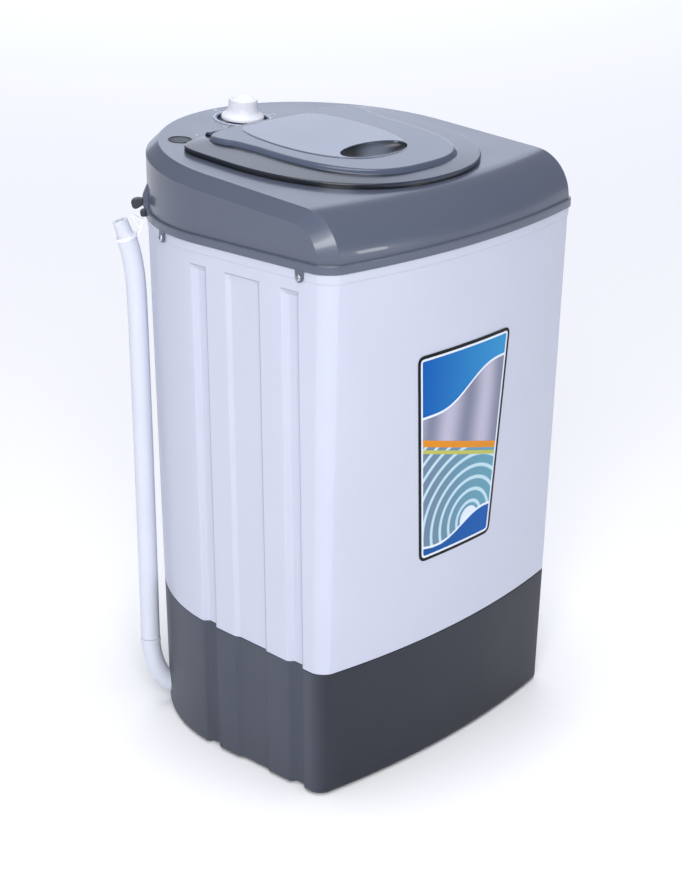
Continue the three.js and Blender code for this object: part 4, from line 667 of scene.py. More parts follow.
def smoky_lid(tone):
    """Smoke-tinted acrylic: darker on its low outer band, paler on its raised middle, with painted
    shade of the dark inside on its left, on its steep step and along its edge.
    """
    material, node, place = blank("acrylic_smoky")
    low = over_top(node, place)

    def below(height, soft):
        """1 under this height over the top, and 0 above it."""
        return node("MapRange", {
            "Value": low, "From Min": (TOP_HEIGHT + height - soft) * MM,
            "From Max": (TOP_HEIGHT + height + soft) * MM, "To Min": 1.0, "To Max": 0.0})

    ring = below(8, 0.6)
    left = node("MapRange", {
        "Value": node("SeparateXYZ", {"Vector": place}, "X"), "From Min": -0.1,
        "From Max": -0.01, "To Min": 1.0, "To Max": 0.0}, interpolation_type="SMOOTHSTEP")
    # Painted shade: the dark inside of the dryer shown through the left of the outer band
    inside_shade = node("Math", {0: left, 1: ring}, operation="MULTIPLY")
    wisps = node("TexNoise", {"Vector": place, "Scale": 1 / (40 * MM), "Detail": 2.0})
    dark = layered(node, linear("#0f131b"), (wisps, linear("#232934")))
    # Painted shade on the steep faces of the step up to the raised middle
    upright = node("SeparateXYZ", {"Vector": node("NewGeometry", output="Normal")}, "Z")
    steep = node("MapRange", {
        "Value": upright, "From Min": 0.6, "From Max": 0.98, "To Min": 1.0, "To Max": 0.0})
    high = node("Math", {0: 1.0, 1: below(6.9, 0.3)}, operation="SUBTRACT")
    step_shade = node("Math", {0: steep, 1: high}, operation="MULTIPLY")
    # Over the tone: the darker outer band, then the painted shades, the last a near-black painted
    # shade along the low edge
    tint = layered(node, tone, (ring, linear("#363e4f")), (inside_shade, dark),
                   (step_shade, linear("#4c5569")), (below(2.7, 0.4), linear("#12141a")))
    node("OutputMaterial", {"Surface": node("BsdfPrincipled", {
        "Base Color": tint, "Roughness": 0.2, "IOR": 1.46, "Coat Weight": 0.15,
        "Coat Roughness": 0.08})})
    return material


def label_print(blue):
    """Printed film: blue waves over silver, with aqua ripples and warm stripes."""
    material, node, place = blank("film_print")
    axes = node("SeparateXYZ", {"Vector": place}).node.outputs
    x, z = axes["X"], axes["Z"]

    def beyond(value, limit, soft=0.0005):
        """0 under the limit and 1 over it, across a soft edge."""
        return node("MapRange", {
            "Value": value, "From Min": limit - soft, "From Max": limit + soft})

    def slanted(rise):
        """Height above a line that climbs to the right by this much."""
        climb = node("Math", {0: x, 1: rise}, operation="MULTIPLY")
        return node("Math", {0: z, 1: climb}, operation="SUBTRACT")

    drift = node("MapRange", {"Value": x, "From Min": -0.07, "From Max": 0.06})
    brushed = node("TexWave", {"Vector": place, "Scale": 6.0, "Distortion": 1.5}, "Fac",
                   bands_direction="X")
    silver = layered(node, linear("#7f8298"), (brushed, linear("#b4b3c6")))
    point = node("CombineXYZ", {
        "X": node("Math", {0: x, 1: RIPPLE_MIDDLE[0]}, operation="SUBTRACT"),
        "Y": node("Math", {0: z, 1: RIPPLE_MIDDLE[1]}, operation="SUBTRACT")})
    away = node("VectorMath", {0: point}, "Value", operation="LENGTH")
    waves = node("Math", {0: away, 1: 0.0065}, operation="PINGPONG")
    near = node("Math", {0: away, 1: -1.0}, operation="MULTIPLY")
    field = layered(
        node, linear("#6d7d94"), (drift, linear("#5f9fb4")),
        (beyond(waves, 0.0046), linear("#b9d6e2")), (beyond(near, -0.014), linear("#d9e4f0")),
        (beyond(slanted(-0.28), 0.352), silver),
        (band(node, slanted(-0.28), 0.3456, 0.3524, 0.0005), linear("#d98a1e")),
        (band(node, slanted(-0.28), 0.3382, 0.3418, 0.0005), linear("#b9b95a")))
    sea = layered(node, blue, (drift, linear("#2f8fc6")))
    foot = layered(node, linear("#0d4f93"), (drift, blue))
    swing = node("Math", {0: x, 1: 55.0}, operation="MULTIPLY")
    swing = node("Math", {0: swing, 1: 0.0}, operation="SINE")
    wave = node("Math", {0: swing, 1: 0.006}, operation="MULTIPLY")
    low, high = (node("Math", {0: slanted(rise), 1: wave}, operation="SUBTRACT")
                 for rise in (0.16, 0.34))
    foam = linear("#dfe8f3")
    tint = layered(
        node, foot, (beyond(low, 0.257), field), (band(node, low, 0.2575, 0.2595, 0.0005), foam),
        (beyond(high, 0.414), sea), (band(node, high, 0.4125, 0.4145, 0.0005), foam))
    node("OutputMaterial", {"Surface": node("BsdfPrincipled", {
        "Base Color": tint, "Roughness": 0.25, "IOR": 1.5, "Specular IOR Level": 0.12})})
    return material


# ------------------------------------------------------------------ operators

class Step(bpy.types.Operator):
    """Shared settings of every building step"""
    bl_idname = "dryer.step"
    bl_label = "Step"
    bl_options = {"REGISTER", "UNDO"}


class DRYER_OT_camera(Step):
    """Place the camera where the photograph was taken from"""
    bl_idname = "dryer.camera"
    bl_label = "Camera"

    def execute(self, context):
        deselect()
        bpy.ops.object.camera_add(location=CAMERA_PLACE)
        camera = bpy.context.object
        camera.name = "photo_camera"
        axes = Matrix((CAMERA_RIGHT, CAMERA_UP, CAMERA_BACK)).transposed()
        camera.matrix_world = Matrix.Translation(CAMERA_PLACE) @ axes.to_4x4()
        camera.data.sensor_width = SENSOR
        camera.data.lens = FOCAL_PIXELS * SENSOR / PHOTO_HEIGHT
        context.scene.camera = camera
        return {"FINISHED"}


class DRYER_OT_hose(Step):
    """Hang the drain hose, with its elbow, cuff and hanger"""
    bl_idname = "dryer.hose"
    bl_label = "Drain hose"

    def execute(self, context):
        route = along_curve([in_drain_plane(*point) for point in HOSE_ROUTE], 4)
        deselect()
        line = bpy.data.curves.new("drain_hose_skin", "CURVE")
        line.dimensions = "3D"
        spline = line.splines.new("POLY")
        spline.points.add(len(route) - 1)
        for knot, point in zip(spline.points, route):
            knot.co = (*(point * MM), 1)
        line.bevel_depth = context.scene.dryer_sizes.hose / 2
        line.bevel_resolution = 8
        line.use_fill_caps = True
        hose = bpy.data.objects.new("drain_hose_skin", line)
        context.scene.collection.objects.link(hose)

        end, before = route[-1], route[-2]
        lean = (end - before).normalized()
        profile = ((5, -8), (6.3, -8), (6.3, 0.2), (9.2, 0.3), (9.6, 0.7), (9.6, 3.6), (9.2, 4),
                   (8.6, 5), (8.5, 9), (8.2, 9.4), (8.1, 20.4), (7.7, 21), (5.4, 21), (5, 20.5))
        cuff = turned("hose_cuff_skin", profile, endless=True)
        turn = Vector((0, 0, 1)).rotation_difference(lean).to_matrix().to_4x4()
        settle(cuff, Matrix.Translation(end * MM) @ turn)
        hanger = copy_of("hose_hanger", 30, 0.0004)
        fit(hose, "hose", "casing", "drain_hose")
        fit(smooth(cuff, 40), "hose", "casing", "hose_cuff")
        fit(hanger, "white", "casing", "hose_hanger")

        bend = [in_drain_plane(ELBOW_START + ELBOW_REACH * math.sin(a),
                               ELBOW_Z + ELBOW_RISE * (1 - math.cos(a)))
                for a in (math.pi / 2 * i / 16 for i in range(17))]
        lead = [in_drain_plane(radius, ELBOW_Z) for radius in (150, 170, 170.5)]
        top = bend[-1]
        points = [*lead, *bend, top + Vector((0, 0, 0.4)), top + Vector((0, 0, 15))]
        radii = [9, 9, DRAIN_RADIUS, *[DRAIN_RADIUS] * len(bend), 6.9, 6.9]
        elbow = pipe("drain_elbow_skin", points, radii)
        band = pipe("elbow_band", [bend[-2] + Vector((0, 0, 1)), bend[-1]],
                    [DRAIN_RADIUS + 0.5] * 2)
        elbow = smooth(joined("drain_elbow_skin", elbow, band), 40)
        fit(elbow, "hose", "casing", "drain_elbow")
        return {"FINISHED"}


class DRYER_OT_base(Step):
    """Mould the dark base with its fluted sides"""
    bl_idname = "dryer.base"
    bl_label = "Base"

    def execute(self, context):
        lap = -WALL - 0.3
        rings = [
            casing_ring(8, -5.4), casing_ring(SKIRT_Z, -5.4), casing_ring(SKIRT_Z, -2.4),
            casing_ring(3.5, -1.2), casing_ring(4.7, -0.35), casing_ring(6.8), joint_ring(0, -1),
            joint_ring(-0.3, -0.3), joint_ring(-0.9, 0), joint_ring(lap, 0), joint_ring(lap, 9),
            joint_ring(lap - 2.4, 9), casing_ring(11, -WALL),
        ]
        shell = skin("base_skin", rings)
        reach = 95
        posts = [turned("post", ((15.6, 10.5), (12, 60)), 24,
                        reach * math.cos(a), SPIN_Y + reach * math.sin(a))
                 for a in map(math.radians, (90, 210, 330))]
        base = smooth(joined("base_skin", shell, *posts), 40)
        fit(base, "base", "casing", "base")
        return {"FINISHED"}


class DRYER_OT_cabinet(Step):
    """Mould the tall light cabinet"""
    bl_idname = "dryer.cabinet"
    bl_label = "Cabinet"

    def execute(self, context):
        ledge = CABINET_TOP - BAND_HEIGHT
        run = [casing_ring(FLUTE_TOP - FLUTE_RUNOUT * (1 - i / 6), 0, 1 - ease(i / 6))
               for i in range(7)]
        rings = [
            joint_ring(-0.9, 0.3), joint_ring(-0.3, 0.6), joint_ring(0, 1.3), casing_ring(340),
            *run, casing_ring(ledge, 0, 0), casing_ring(ledge + 0.3, 0.25, 0),
            casing_ring(ledge + 0.8, 0.8, 0), casing_ring(CABINET_TOP, 0.8, 0),
            casing_ring(CABINET_TOP, -WALL, 0),
            casing_ring(FLUTE_TOP - FLUTE_RUNOUT, -WALL), joint_ring(-WALL, 0.3),
        ]
        cabinet = smooth(skin("cabinet_skin", rings, endless=True), 40)
        fit(cabinet, "cabinet", "casing", "cabinet")
        return {"FINISHED"}


def bent(x, y, z):
    """Moves a point of the straight-fronted cover to the bulged front, in the top's plane."""
    half, edge_y, bulge, _, back_y = casing_size(RIM_BOTTOM)
    radius = (half * half + bulge * bulge) / (2 * bulge)
    out = math.sqrt(radius ** 2 - x * x) - (radius - bulge)
    out *= min(max((back_y - y) / (back_y - edge_y), 0), 1)
    return (x, y - out, z - out * TOP_SLOPE)


def cover_side(inset, drop, low=None):
    """From the front round's foot, over its side and along the shoulder, to the back."""
    half, edge_y, _, _, back_y = casing_size(RIM_BOTTOM)
    x, radius = half - inset, FRONT_ROUND - drop
    side = [(x, edge_y + FRONT_ROUND - radius * math.cos(a), FRONT_CENTRE_Z + radius * math.sin(a))
            for a in ROUND_ANGLES]
    down = drop / math.cos(TOP_ANGLE)
    side += [(x, y, top_z(y) - down) for y in (-95, -60, -30)]
    for i in range(BACK_STEPS + 1):
        a = math.pi / 2 * i / BACK_STEPS
        y = back_y + x * math.sin(a)
        side.append((x * math.cos(a), y, top_z(y) - down))
    if low is not None:
        return [(*bent(*point)[:2], low) for point in side]
    return [bent(*point) for point in side]


def cover_ring(side, row):
    """A closed ring of the cover: one side, its mirror image, and a row across the front."""
    reach = casing_size(RIM_BOTTOM)[0] - SHOULDER
    radius = FRONT_ROUND
    y = FRONT_EDGE_Y[1] + radius - radius * math.cos(ROUND_ANGLES[row])
    z = FRONT_CENTRE_Z + radius * math.sin(ROUND_ANGLES[row])
    across = [bent(reach * (2 * i / FRONT_COLUMNS - 1), y, z) for i in range(FRONT_COLUMNS + 1)]
    mirror = [(-px, py, pz) for px, py, pz in reversed(side[:-1])]
    return across + side + mirror


ROUND_STEPS, BACK_STEPS, FRONT_COLUMNS = 14, 40, 28
FRONT_CENTRE_Z = top_z(FRONT_EDGE_Y[1] + FRONT_ROUND) - FRONT_ROUND / math.cos(TOP_ANGLE)
ROUND_ANGLES = [(math.pi / 2 - TOP_ANGLE) * i / ROUND_STEPS for i in range(ROUND_STEPS + 1)]


def cover_shell():
    """The cover's wall, shoulder, front round and top, with its wall thickness."""
    foot = RIM_TOP - 1.5
    outer = cover_side(SHOULDER, 0)
    low_row = [(x, y, foot) for x, y, _ in cover_ring(outer, 0)[:FRONT_COLUMNS + 1]]
    low = cover_side(0, SHOULDER, foot)
    rings = [low_row + low + [(-x, y, z) for x, y, z in reversed(low[:-1])],
             cover_ring(cover_side(0, SHOULDER), 0)]
    for row in range(ROUND_STEPS + 1):
        side = [outer[max(i, row)] for i in range(len(outer))]
        rings.append(cover_ring(side, row))
    shell = skin("top_cover_skin", rings, caps=(False, True))
    open_mesh(shell)
    bpy.ops.mesh.remove_doubles(threshold=0.00003)
    bpy.ops.mesh.dissolve_degenerate(threshold=0.00002)
    bpy.ops.mesh.normals_make_consistent(inside=False)
    bpy.ops.object.mode_set(mode="OBJECT")
    modify(shell, "BEVEL", width=0.0009, segments=3, limit_method="ANGLE",
           angle_limit=math.radians(24), use_clamp_overlap=True)
    modify(shell, "SOLIDIFY", thickness=COVER_WALL * MM, offset=-1)
    return shell


def hinge_ear(sign):
    x = sign * EAR_X
    arc = [(HINGE_V + HINGE_RADIUS * math.cos(a), HINGE_H + HINGE_RADIUS * math.sin(a))
           for a in (math.pi * i / 14 for i in range(15))]
    foot = [(HINGE_V - HINGE_RADIUS, -1.5), (HINGE_V + HINGE_RADIUS, -1.5)]
    rings = [[(side, v, h) for v, h in arc + foot] for side in (x - 3, x + 3)]
    return settle(skin("ear", rings), TOP)


def side_frame(y, sign):
    """Place and turn of a cover lug: its own Z points out of the side."""
    half, _, _, _, back_y = casing_size(LUG_HEIGHT)
    turn = math.asin((y - back_y) / half) if y > back_y else 0
    angle = turn if sign > 0 else math.pi - turn
    x = sign * half * math.cos(turn)
    return (Matrix.Translation((x * MM, y * MM, LUG_HEIGHT * MM))
            @ Matrix.Rotation(angle, 4, "Z") @ Matrix.Rotation(math.pi / 2, 4, "Y"))


LUG_SIDES = [(y, sign) for sign in (-1, 1) for y in (-135.8, 63.6)]


def lug(y, sign):
    """A U-shaped lug, drawn in a little at its outer face."""
    arc = [(LUG_RADIUS * math.sin(a), LUG_RADIUS * math.cos(a))
           for a in (math.pi * i / 16 for i in range(17))]
    outline = [*arc, (-8.2, -LUG_RADIUS), (-8.2, LUG_RADIUS)]
    rings = [[(u * share, w * share, depth) for u, w in outline]
             for depth, share in ((1.1, 1), (2.9, 1), (3.3, 0.93))]
    return settle(skin("lug", rings), side_frame(y, sign))


class DRYER_OT_cover(Step):
    """Mould the top cover with its rim, mouth, dial well, lugs and hose hook"""
    bl_idname = "dryer.cover"
    bl_label = "Top cover"

    def execute(self, context):
        shell = cover_shell()
        carve(shell, rod("mouth", MOUTH_RADIUS, 600, 660, 96, 0, SPIN_Y))
        carve(shell, settle(rod("well", WELL_RADIUS, -30, 30, 64, 0, KNOB_V), TOP))
        carve(shell, settle(rod("inlet", INLET_RADIUS, -30, 30, 48, *INLET), TOP))
        carve(shell, settle(block("slot", -70.5, -61.5, 64.3, 80, -12, 5), TOP))
        under = RIM_TOP - COVER_WALL
        rim = skin("rim", [level_ring(*step) for step in (
            (1.1, RIM_BOTTOM), (2.4, RIM_BOTTOM), (2.9, RIM_BOTTOM + 0.6), (2.9, RIM_TOP - 1.2),
            (2.5, RIM_TOP - 0.4), (1.7, RIM_TOP), (-COVER_WALL, RIM_TOP), (-COVER_WALL, under),
            (1.1, under))], endless=True)
        outer = MOUTH_RADIUS + COLLAR_WALL
        collar = turned("collar", (
            (MOUTH_RADIUS, 556), (outer, 556), (outer, 616), (MOUTH_RADIUS, 616)),
            96, 0, SPIN_Y, True)
        mouth_lip = self.mouth_lip()
        well = settle(turned("well_cup", (
            (0, -WELL_DEPTH), (WELL_RADIUS - 0.5, -WELL_DEPTH), (WELL_RADIUS, 0.5 - WELL_DEPTH),
            (WELL_RADIUS, -1), (30.3, -1), (30.3, -6.8), (0, -6.8)), 64, 0, KNOB_V), TOP)
        fin = hull("fin", ((187.9, 600), (189.6, 598.5), (192.3, 593.2), (194.7, 587.5),
                           (195.6, 582.4), (195.4, 576.5), (193.9, 572.2), (187.9, 572.2)),
                   4, DRAIN_PLANE)
        lugs = [lug(y, sign) for y, sign in LUG_SIDES]
        cover = joined("top_cover_skin", shell, rim, collar, mouth_lip, well, fin, hinge_ear(-1),
                       hinge_ear(1), *lugs)
        fit(smooth(cover, 40), "cover", "casing", "top_cover")
        self.dial_ring()
        self.hook()
        return {"FINISHED"}

    def mouth_lip(self):
        """Collar's upper end, which follows the slope of the top."""
        inner, outer = MOUTH_RADIUS, MOUTH_RADIUS + COLLAR_WALL
        rings = [circle(radius, 615.5, 96, 0, SPIN_Y) for radius in (inner, outer)]
        rings += [[(x, y, top_z(y) + rise) for x, y, _ in circle(radius, 0, 96, 0, SPIN_Y)]
                  for radius, rise in ((outer, -1.5), (outer - 0.8, 0.02), (inner + 0.8, 0.02),
                                       (inner, -0.8))]
        return skin("mouth_lip", rings, endless=True)

    def dial_ring(self):
        ring = turned("dial_ring", (
            (29.2, -0.6), (29.2, 0.7), (29.6, 1.1), (30.9, 1.1), (31.4, 0.7), (31.6, -0.6)),
            64, 0, KNOB_V, True)
        fit(smooth(settle(ring, TOP), 50), "ring", "casing")

    def hook(self):
        claw = hull("hook_claw", ((194.8, 583), (197.6, 583.8), (200.6, 583.9), (203.4, 583.3),
                                  (205.2, 582), (206.6, 580.2), (207, 577.9), (206.2, 575),
                                  (204.4, 572.9), (202, 572.9), (199.6, 573.9), (195.2, 576.4)),
                    9, DRAIN_PLANE)
        peg = hull("hook_peg", ((192, 571.8), (194.6, 571.8), (197.4, 570.4), (198.2, 568),
                                (197.8, 565.4), (196.6, 564.2), (192, 564.2)), 9, DRAIN_PLANE)
        fit(smooth(joined("hose_hook", claw, peg), 40, 0.0012, 3), "dark", "casing")


class DRYER_OT_screws(Step):
    """Drive the four pan-head screws through the cover's lugs"""
    bl_idname = "dryer.screws"
    bl_label = "Cover screws"

    def execute(self, context):
        screw = turned("cover_screw", (
            (1.7, -6.4), (1.7, 3.4), (3.3, 3.4), (3.5, 3.7), (3.4, 4.5), (2.7, 5.2), (1.2, 5.5)),
            32)
        arm = ((2.1, -0.4), (2.1, 0.4), (0.4, 0.4))
        cross = [(u * c - w * s, u * s + w * c)
                 for c, s in ((1, 0), (0, 1), (-1, 0), (0, -1)) for u, w in arm]
        carve(screw, hull("cross_slot", cross, 1.8, Matrix.Translation((0, 0, 5.1 * MM))))
        heal(screw, 0.00002)
        for number, (y, sign) in enumerate(LUG_SIDES, 1):
            copy = screw.copy()
            copy.data = screw.data.copy()
            copy.name = copy.data.name = f"cover_screw_{number}_skin"
            context.scene.collection.objects.link(copy)
            settle(copy, side_frame(y, sign))
            fit(smooth(copy, 40), "steel", "casing", f"cover_screw_{number}")
        bpy.data.objects.remove(screw, do_unlink=True)
        return {"FINISHED"}


def egg(half, front, back, powers, middle=0.0, flare=0.0, sides=120):
    """An outline round in front and squarer at the back, in [across, along] points."""
    outline = []
    for i in range(sides):
        a = 2 * math.pi * i / sides
        power = powers[0] if math.sin(a) < 0 else powers[1]
        across = math.copysign(abs(math.cos(a)) ** (2 / power), math.cos(a))
        along = math.copysign(abs(math.sin(a)) ** (2 / power), math.sin(a))
        v = LID_MIDDLE_V + (front if along < 0 else back) * along
        outline.append((middle + (half + flare * ease((v - 25) / 50)) * across, v))
    return outline


def lid_ring(inset, share, h):
    """The lid's outline drawn in, or part of the way over to its raised middle's."""
    outer = egg(LID_HALF_WIDTH - inset, LID_FRONT_REACH - inset, LID_BACK_REACH - inset, (2.3, 6))
    inner = egg(98, 139, 70, (2.8, 6), 2, 14)
    return [(x + (ix - x) * share, v + (iv - v) * share, h)
            for (x, v), (ix, iv) in zip(outer, inner)]


class DRYER_OT_lid(Step):
    """Mould the smoky lid with its raised middle, finger recess and hinge barrels"""
    bl_idname = "dryer.lid"
    bl_label = "Lid"

    def execute(self, context):
        steps = ((0, 0, 4.2), (0.3, 0, 4.9), (0.9, 0, 5.4), (2, 0, 5.7), (2, 0.45, 6.2),
                 (2, 0.84, 6.8), (2, 0.88, 7.1), (2, 0.91, 7.8), (2, 0.935, 8.9), (2, 0.96, 10.0),
                 (2, 0.99, 10.8), (2, 1.03, 11.4), (2, 1.08, 11.6))
        rings = [lid_ring(0, 0, 0.4), *(lid_ring(*step) for step in steps)]
        lid = skin("lid_skin", rings, caps=(False, True))
        modify(lid, "SOLIDIFY", thickness=0.0024, offset=-1, use_even_offset=False)
        bowl = self.bowl(BOWL_WALL)
        carve(bowl, block("over", -150, 150, -150, 150, LID_CREST - 0.5, LID_CREST + 40))
        carve(lid, bowl, "UNION")
        # The cutter's widest ring stays off the lid's own plane, so the cut is the same each time
        carve(lid, self.bowl(0.1, 0.1))
        carve(lid, block("heel", -150, 150, HINGE_V - 9, HINGE_V + 20, -2, 0.6))
        carve(lid, block("heel_edge", -150, 150, HINGE_V + 0.2, HINGE_V + 20, -2, 2.6))
        extras = [block("tab", -69, -63, 70, 78, -9.7, 10)]
        for x in (-EAR_X, EAR_X):
            carve(lid, block("notch", x - 3.3, x + 3.3, HINGE_V - 5.6, HINGE_V + 12, -2, 16))
            turn = Matrix.Translation(Vector((x, HINGE_V, HINGE_H)) * MM) @ (
                Matrix.Rotation(math.pi / 2, 4, "Y"))
            extras += [settle(rod("barrel", HINGE_RADIUS, *span, 32), turn)
                       for span in ((-11, -3.3), (3.3, 11))]
        heal(lid, 0.00005)
        lid = joined("lid_skin", lid, *extras)
        fit(smooth(settle(lid, TOP), 32), "lid", "lid", "lid")
        self.panel()
        self.recess()
        return {"FINISHED"}

    def bowl(self, grow, lift=0.0):
        """The finger recess as an ellipsoid, grown and lifted by these amounts."""
        across, along, *radii = RECESS
        deselect()
        bpy.ops.mesh.primitive_uv_sphere_add(segments=64, ring_count=32, radius=MM)
        bowl = named("bowl")
        bowl.scale = [radius + grow for radius in radii]
        bowl.location = Vector((across, along, LID_CREST + lift)) * MM
        return settle(bowl)

    def panel(self):
        """The clear panel on the raised middle, which narrows to the finger recess."""
        outline = []
        for x, v in egg(1, 99, 63, (2.4, 6), sides=96):
            outline.append((-8 + (67 - 8 * ease((v - 20) / 60)) * x, v))
        middle = (-8, -10)
        rings = [[(middle[0] + shift + (x - middle[0]) * k, middle[1] + (v - middle[1]) * k, h)
                  for x, v in outline]
                 for k, shift, h in ((1.022, 1.3, 11.3), (1.022, 1.3, 11.75), (1, 0, 11.8),
                                     (1, 0, 12.0), (0.993, 0, 12.3), (0.98, 0, 12.4))]
        panel = skin("lid_panel", rings)
        carve(panel, self.bowl(0.4, 0.9))
        fit(smooth(settle(panel, TOP), 40), "panel", "lid")

    def recess(self):
        """Dark skin inside the finger recess, a sheet of painted shade."""
        skin_of_bowl = self.bowl(-0.15)
        skin_of_bowl.name = skin_of_bowl.data.name = "lid_recess"
        open_mesh(skin_of_bowl)
        bpy.ops.mesh.bisect(plane_co=(0, 0, (LID_CREST - 0.3) * MM), plane_no=(0, 0, 1),
                            clear_outer=True)
        bpy.ops.mesh.select_all(action="SELECT")
        bpy.ops.mesh.flip_normals()
        bpy.ops.object.mode_set(mode="OBJECT")
        modify(skin_of_bowl, "SOLIDIFY", thickness=0.0003, offset=-1)
        fit(smooth(settle(skin_of_bowl, TOP), 50), "recess", "lid")


class DRYER_OT_dial(Step):
    """Turn the timer knob and print its scale"""
    bl_idname = "dryer.dial"
    bl_label = "Timer dial"

    def execute(self, context):
        profile = ((0, 0.2), (22, 0.2), (23, 1.0), (23, 3.2), (22.2, 4.2), (19.2, 6.6),
                   (17.4, 8.6), (16.4, 11), (15.7, 15), (15.4, 20.6), (15.0, 21.5), (14.2, 22),
                   (12.9, 21.8), (12.2, 21), (11.4, 20.3), (0, 20.2))
        body = turned("timer_knob_skin", profile, 96, 0, KNOB_V)
        pointer = block("pointer", -1, 1, KNOB_V + 14.5, KNOB_V + 21.6, 1.2, 8)
        knob = joined("timer_knob_skin", body, pointer)
        fit(smooth(settle(knob, TOP), 40), "white", "timer_dial", "timer_knob")
        marks = []
        for number in range(6):
            angle = math.radians(90 - 50 * number)
            spot = Matrix.Translation((0, KNOB_V * MM, 0.00005)) @ (
                Matrix.Rotation(angle - math.pi / 2, 4, "Z"))
            tick = block("tick", -0.35, 0.35, 34.5, 37.5, -0.2, 0.12)
            marks.append(settle(tick, TOP @ spot))
            deselect()
            bpy.ops.object.text_add()
            figure = bpy.context.object
            figure.data.body = str(number)
            figure.data.size = 0.0075
            figure.data.align_x = figure.data.align_y = "CENTER"
            figure.data.extrude = 0.00015
            pick(figure)
            bpy.ops.object.convert(target="MESH")
            at = spot @ Vector((0, 0.0415, 0))
            marks.append(settle(bpy.context.object, TOP @ Matrix.Translation(at)))
        marks.append(settle(rod("dot", 1, -0.2, 0.12, 16, -85.5, 113.5), TOP))
        fit(joined("dial_scale", *marks), "ink", "casing")
        return {"FINISHED"}


class DRYER_OT_label(Step):
    """Stick the printed label on the bulged front"""
    bl_idname = "dryer.label"
    bl_label = "Front label"

    def execute(self, context):
        outline = []
        for i, corner in enumerate(LABEL_CORNERS):
            tip = Vector(corner)
            back, ahead = ((Vector(LABEL_CORNERS[k % 4]) - tip).normalized() * LABEL_ROUND
                           for k in (i - 1, i + 1))
            for k in range(7):
                t = k / 6
                outline.append(tip + back * (1 - t) ** 2 + ahead * t ** 2)
        deselect()
        bpy.ops.mesh.primitive_circle_add(vertices=len(outline), radius=0.1, fill_type="NGON")
        label = named("front_label_skin")
        for corner, point in zip(label.data.vertices, outline):
            corner.co = (point.x * MM, 0, point.y * MM)
        for name in ("border", "inline", "label"):
            label.data.materials.append(materials[name])
        bpy.ops.object.mode_set(mode="EDIT")
        bpy.ops.mesh.select_all(action="SELECT")
        for number, width in ((1, 0.0034), (2, 0.0024)):
            bpy.ops.mesh.inset(thickness=width, depth=0)
            label.active_material_index = number
            bpy.ops.object.material_slot_assign()
        for x in range(-74, 64, 4):
            bpy.ops.mesh.select_all(action="SELECT")
            bpy.ops.mesh.bisect(plane_co=(x * MM, 0, 0), plane_no=(1, 0, 0))
        bpy.ops.object.mode_set(mode="OBJECT")
        for corner in label.data.vertices:
            half, edge_y, bulge, _, _ = casing_size(corner.co.z / MM)
            radius = (half * half + bulge * bulge) / (2 * bulge)
            x = corner.co.x / MM
            depth = math.sqrt((radius + LABEL_LIFT) ** 2 - x * x)
            corner.co.y = (edge_y - bulge + radius - depth) * MM
        open_mesh(label)
        bpy.ops.mesh.normals_make_consistent(inside=False)
        bpy.ops.object.mode_set(mode="OBJECT")
        front = sum((face.normal for face in label.data.polygons), Vector())
        if front.y > 0:
            label.data.flip_normals()
        modify(label, "SOLIDIFY", thickness=0.0005, offset=-1)
        smooth(label, 30)
        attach(label, "casing")
        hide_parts("front_label")
        return {"FINISHED"}


class DRYER_OT_basket(Step):
    """Roll the perforated basket and its balance ring"""
    bl_idname = "dryer.basket"
    bl_label = "Basket"

    def execute(self, context):
        (foot, top), rows = DRUM_Z, 36
        rings = [circle(DRUM_RADIUS, foot + (top - foot) * i / rows, DRUM_SIDES, 0, SPIN_Y)
                 for i in range(rows + 1)]
        drum = skin("drum", rings, caps=(False, False))
        pierce(drum, context.scene.dryer_sizes.hole, 0.0012)
        edge = turned("basket_edge", (
            (118.6, 517.5), (120.6, 517.5), (120.6, 523.4), (119.8, 524), (118.6, 523.4)),
            DRUM_SIDES, 0, SPIN_Y, True)
        pan = turned("basket_pan", (
            (6.4, 182), (112, 182), (117.6, 185), (120.6, 190), (120.6, 196.5), (118.6, 196.5),
            (118.6, 190.8), (110, 185), (6.4, 185)), DRUM_SIDES, 0, SPIN_Y, True)
        basket = smooth(joined("basket_skin", drum, edge, pan), 30)
        fit(basket, "basket", "spin_assembly", "basket")
        ring = turned("balance_ring_skin", (
            (102, 524.3), (121.4, 524.3), (122, 525), (122, 541), (120.6, 544.6), (116.4, 548),
            (104.6, 548.2), (101, 546.6), (99.2, 543), (99, 530), (100, 526)), 96, 0, SPIN_Y, True)
        fit(smooth(ring, 40), "white", "spin_assembly", "balance_ring")
        return {"FINISHED"}


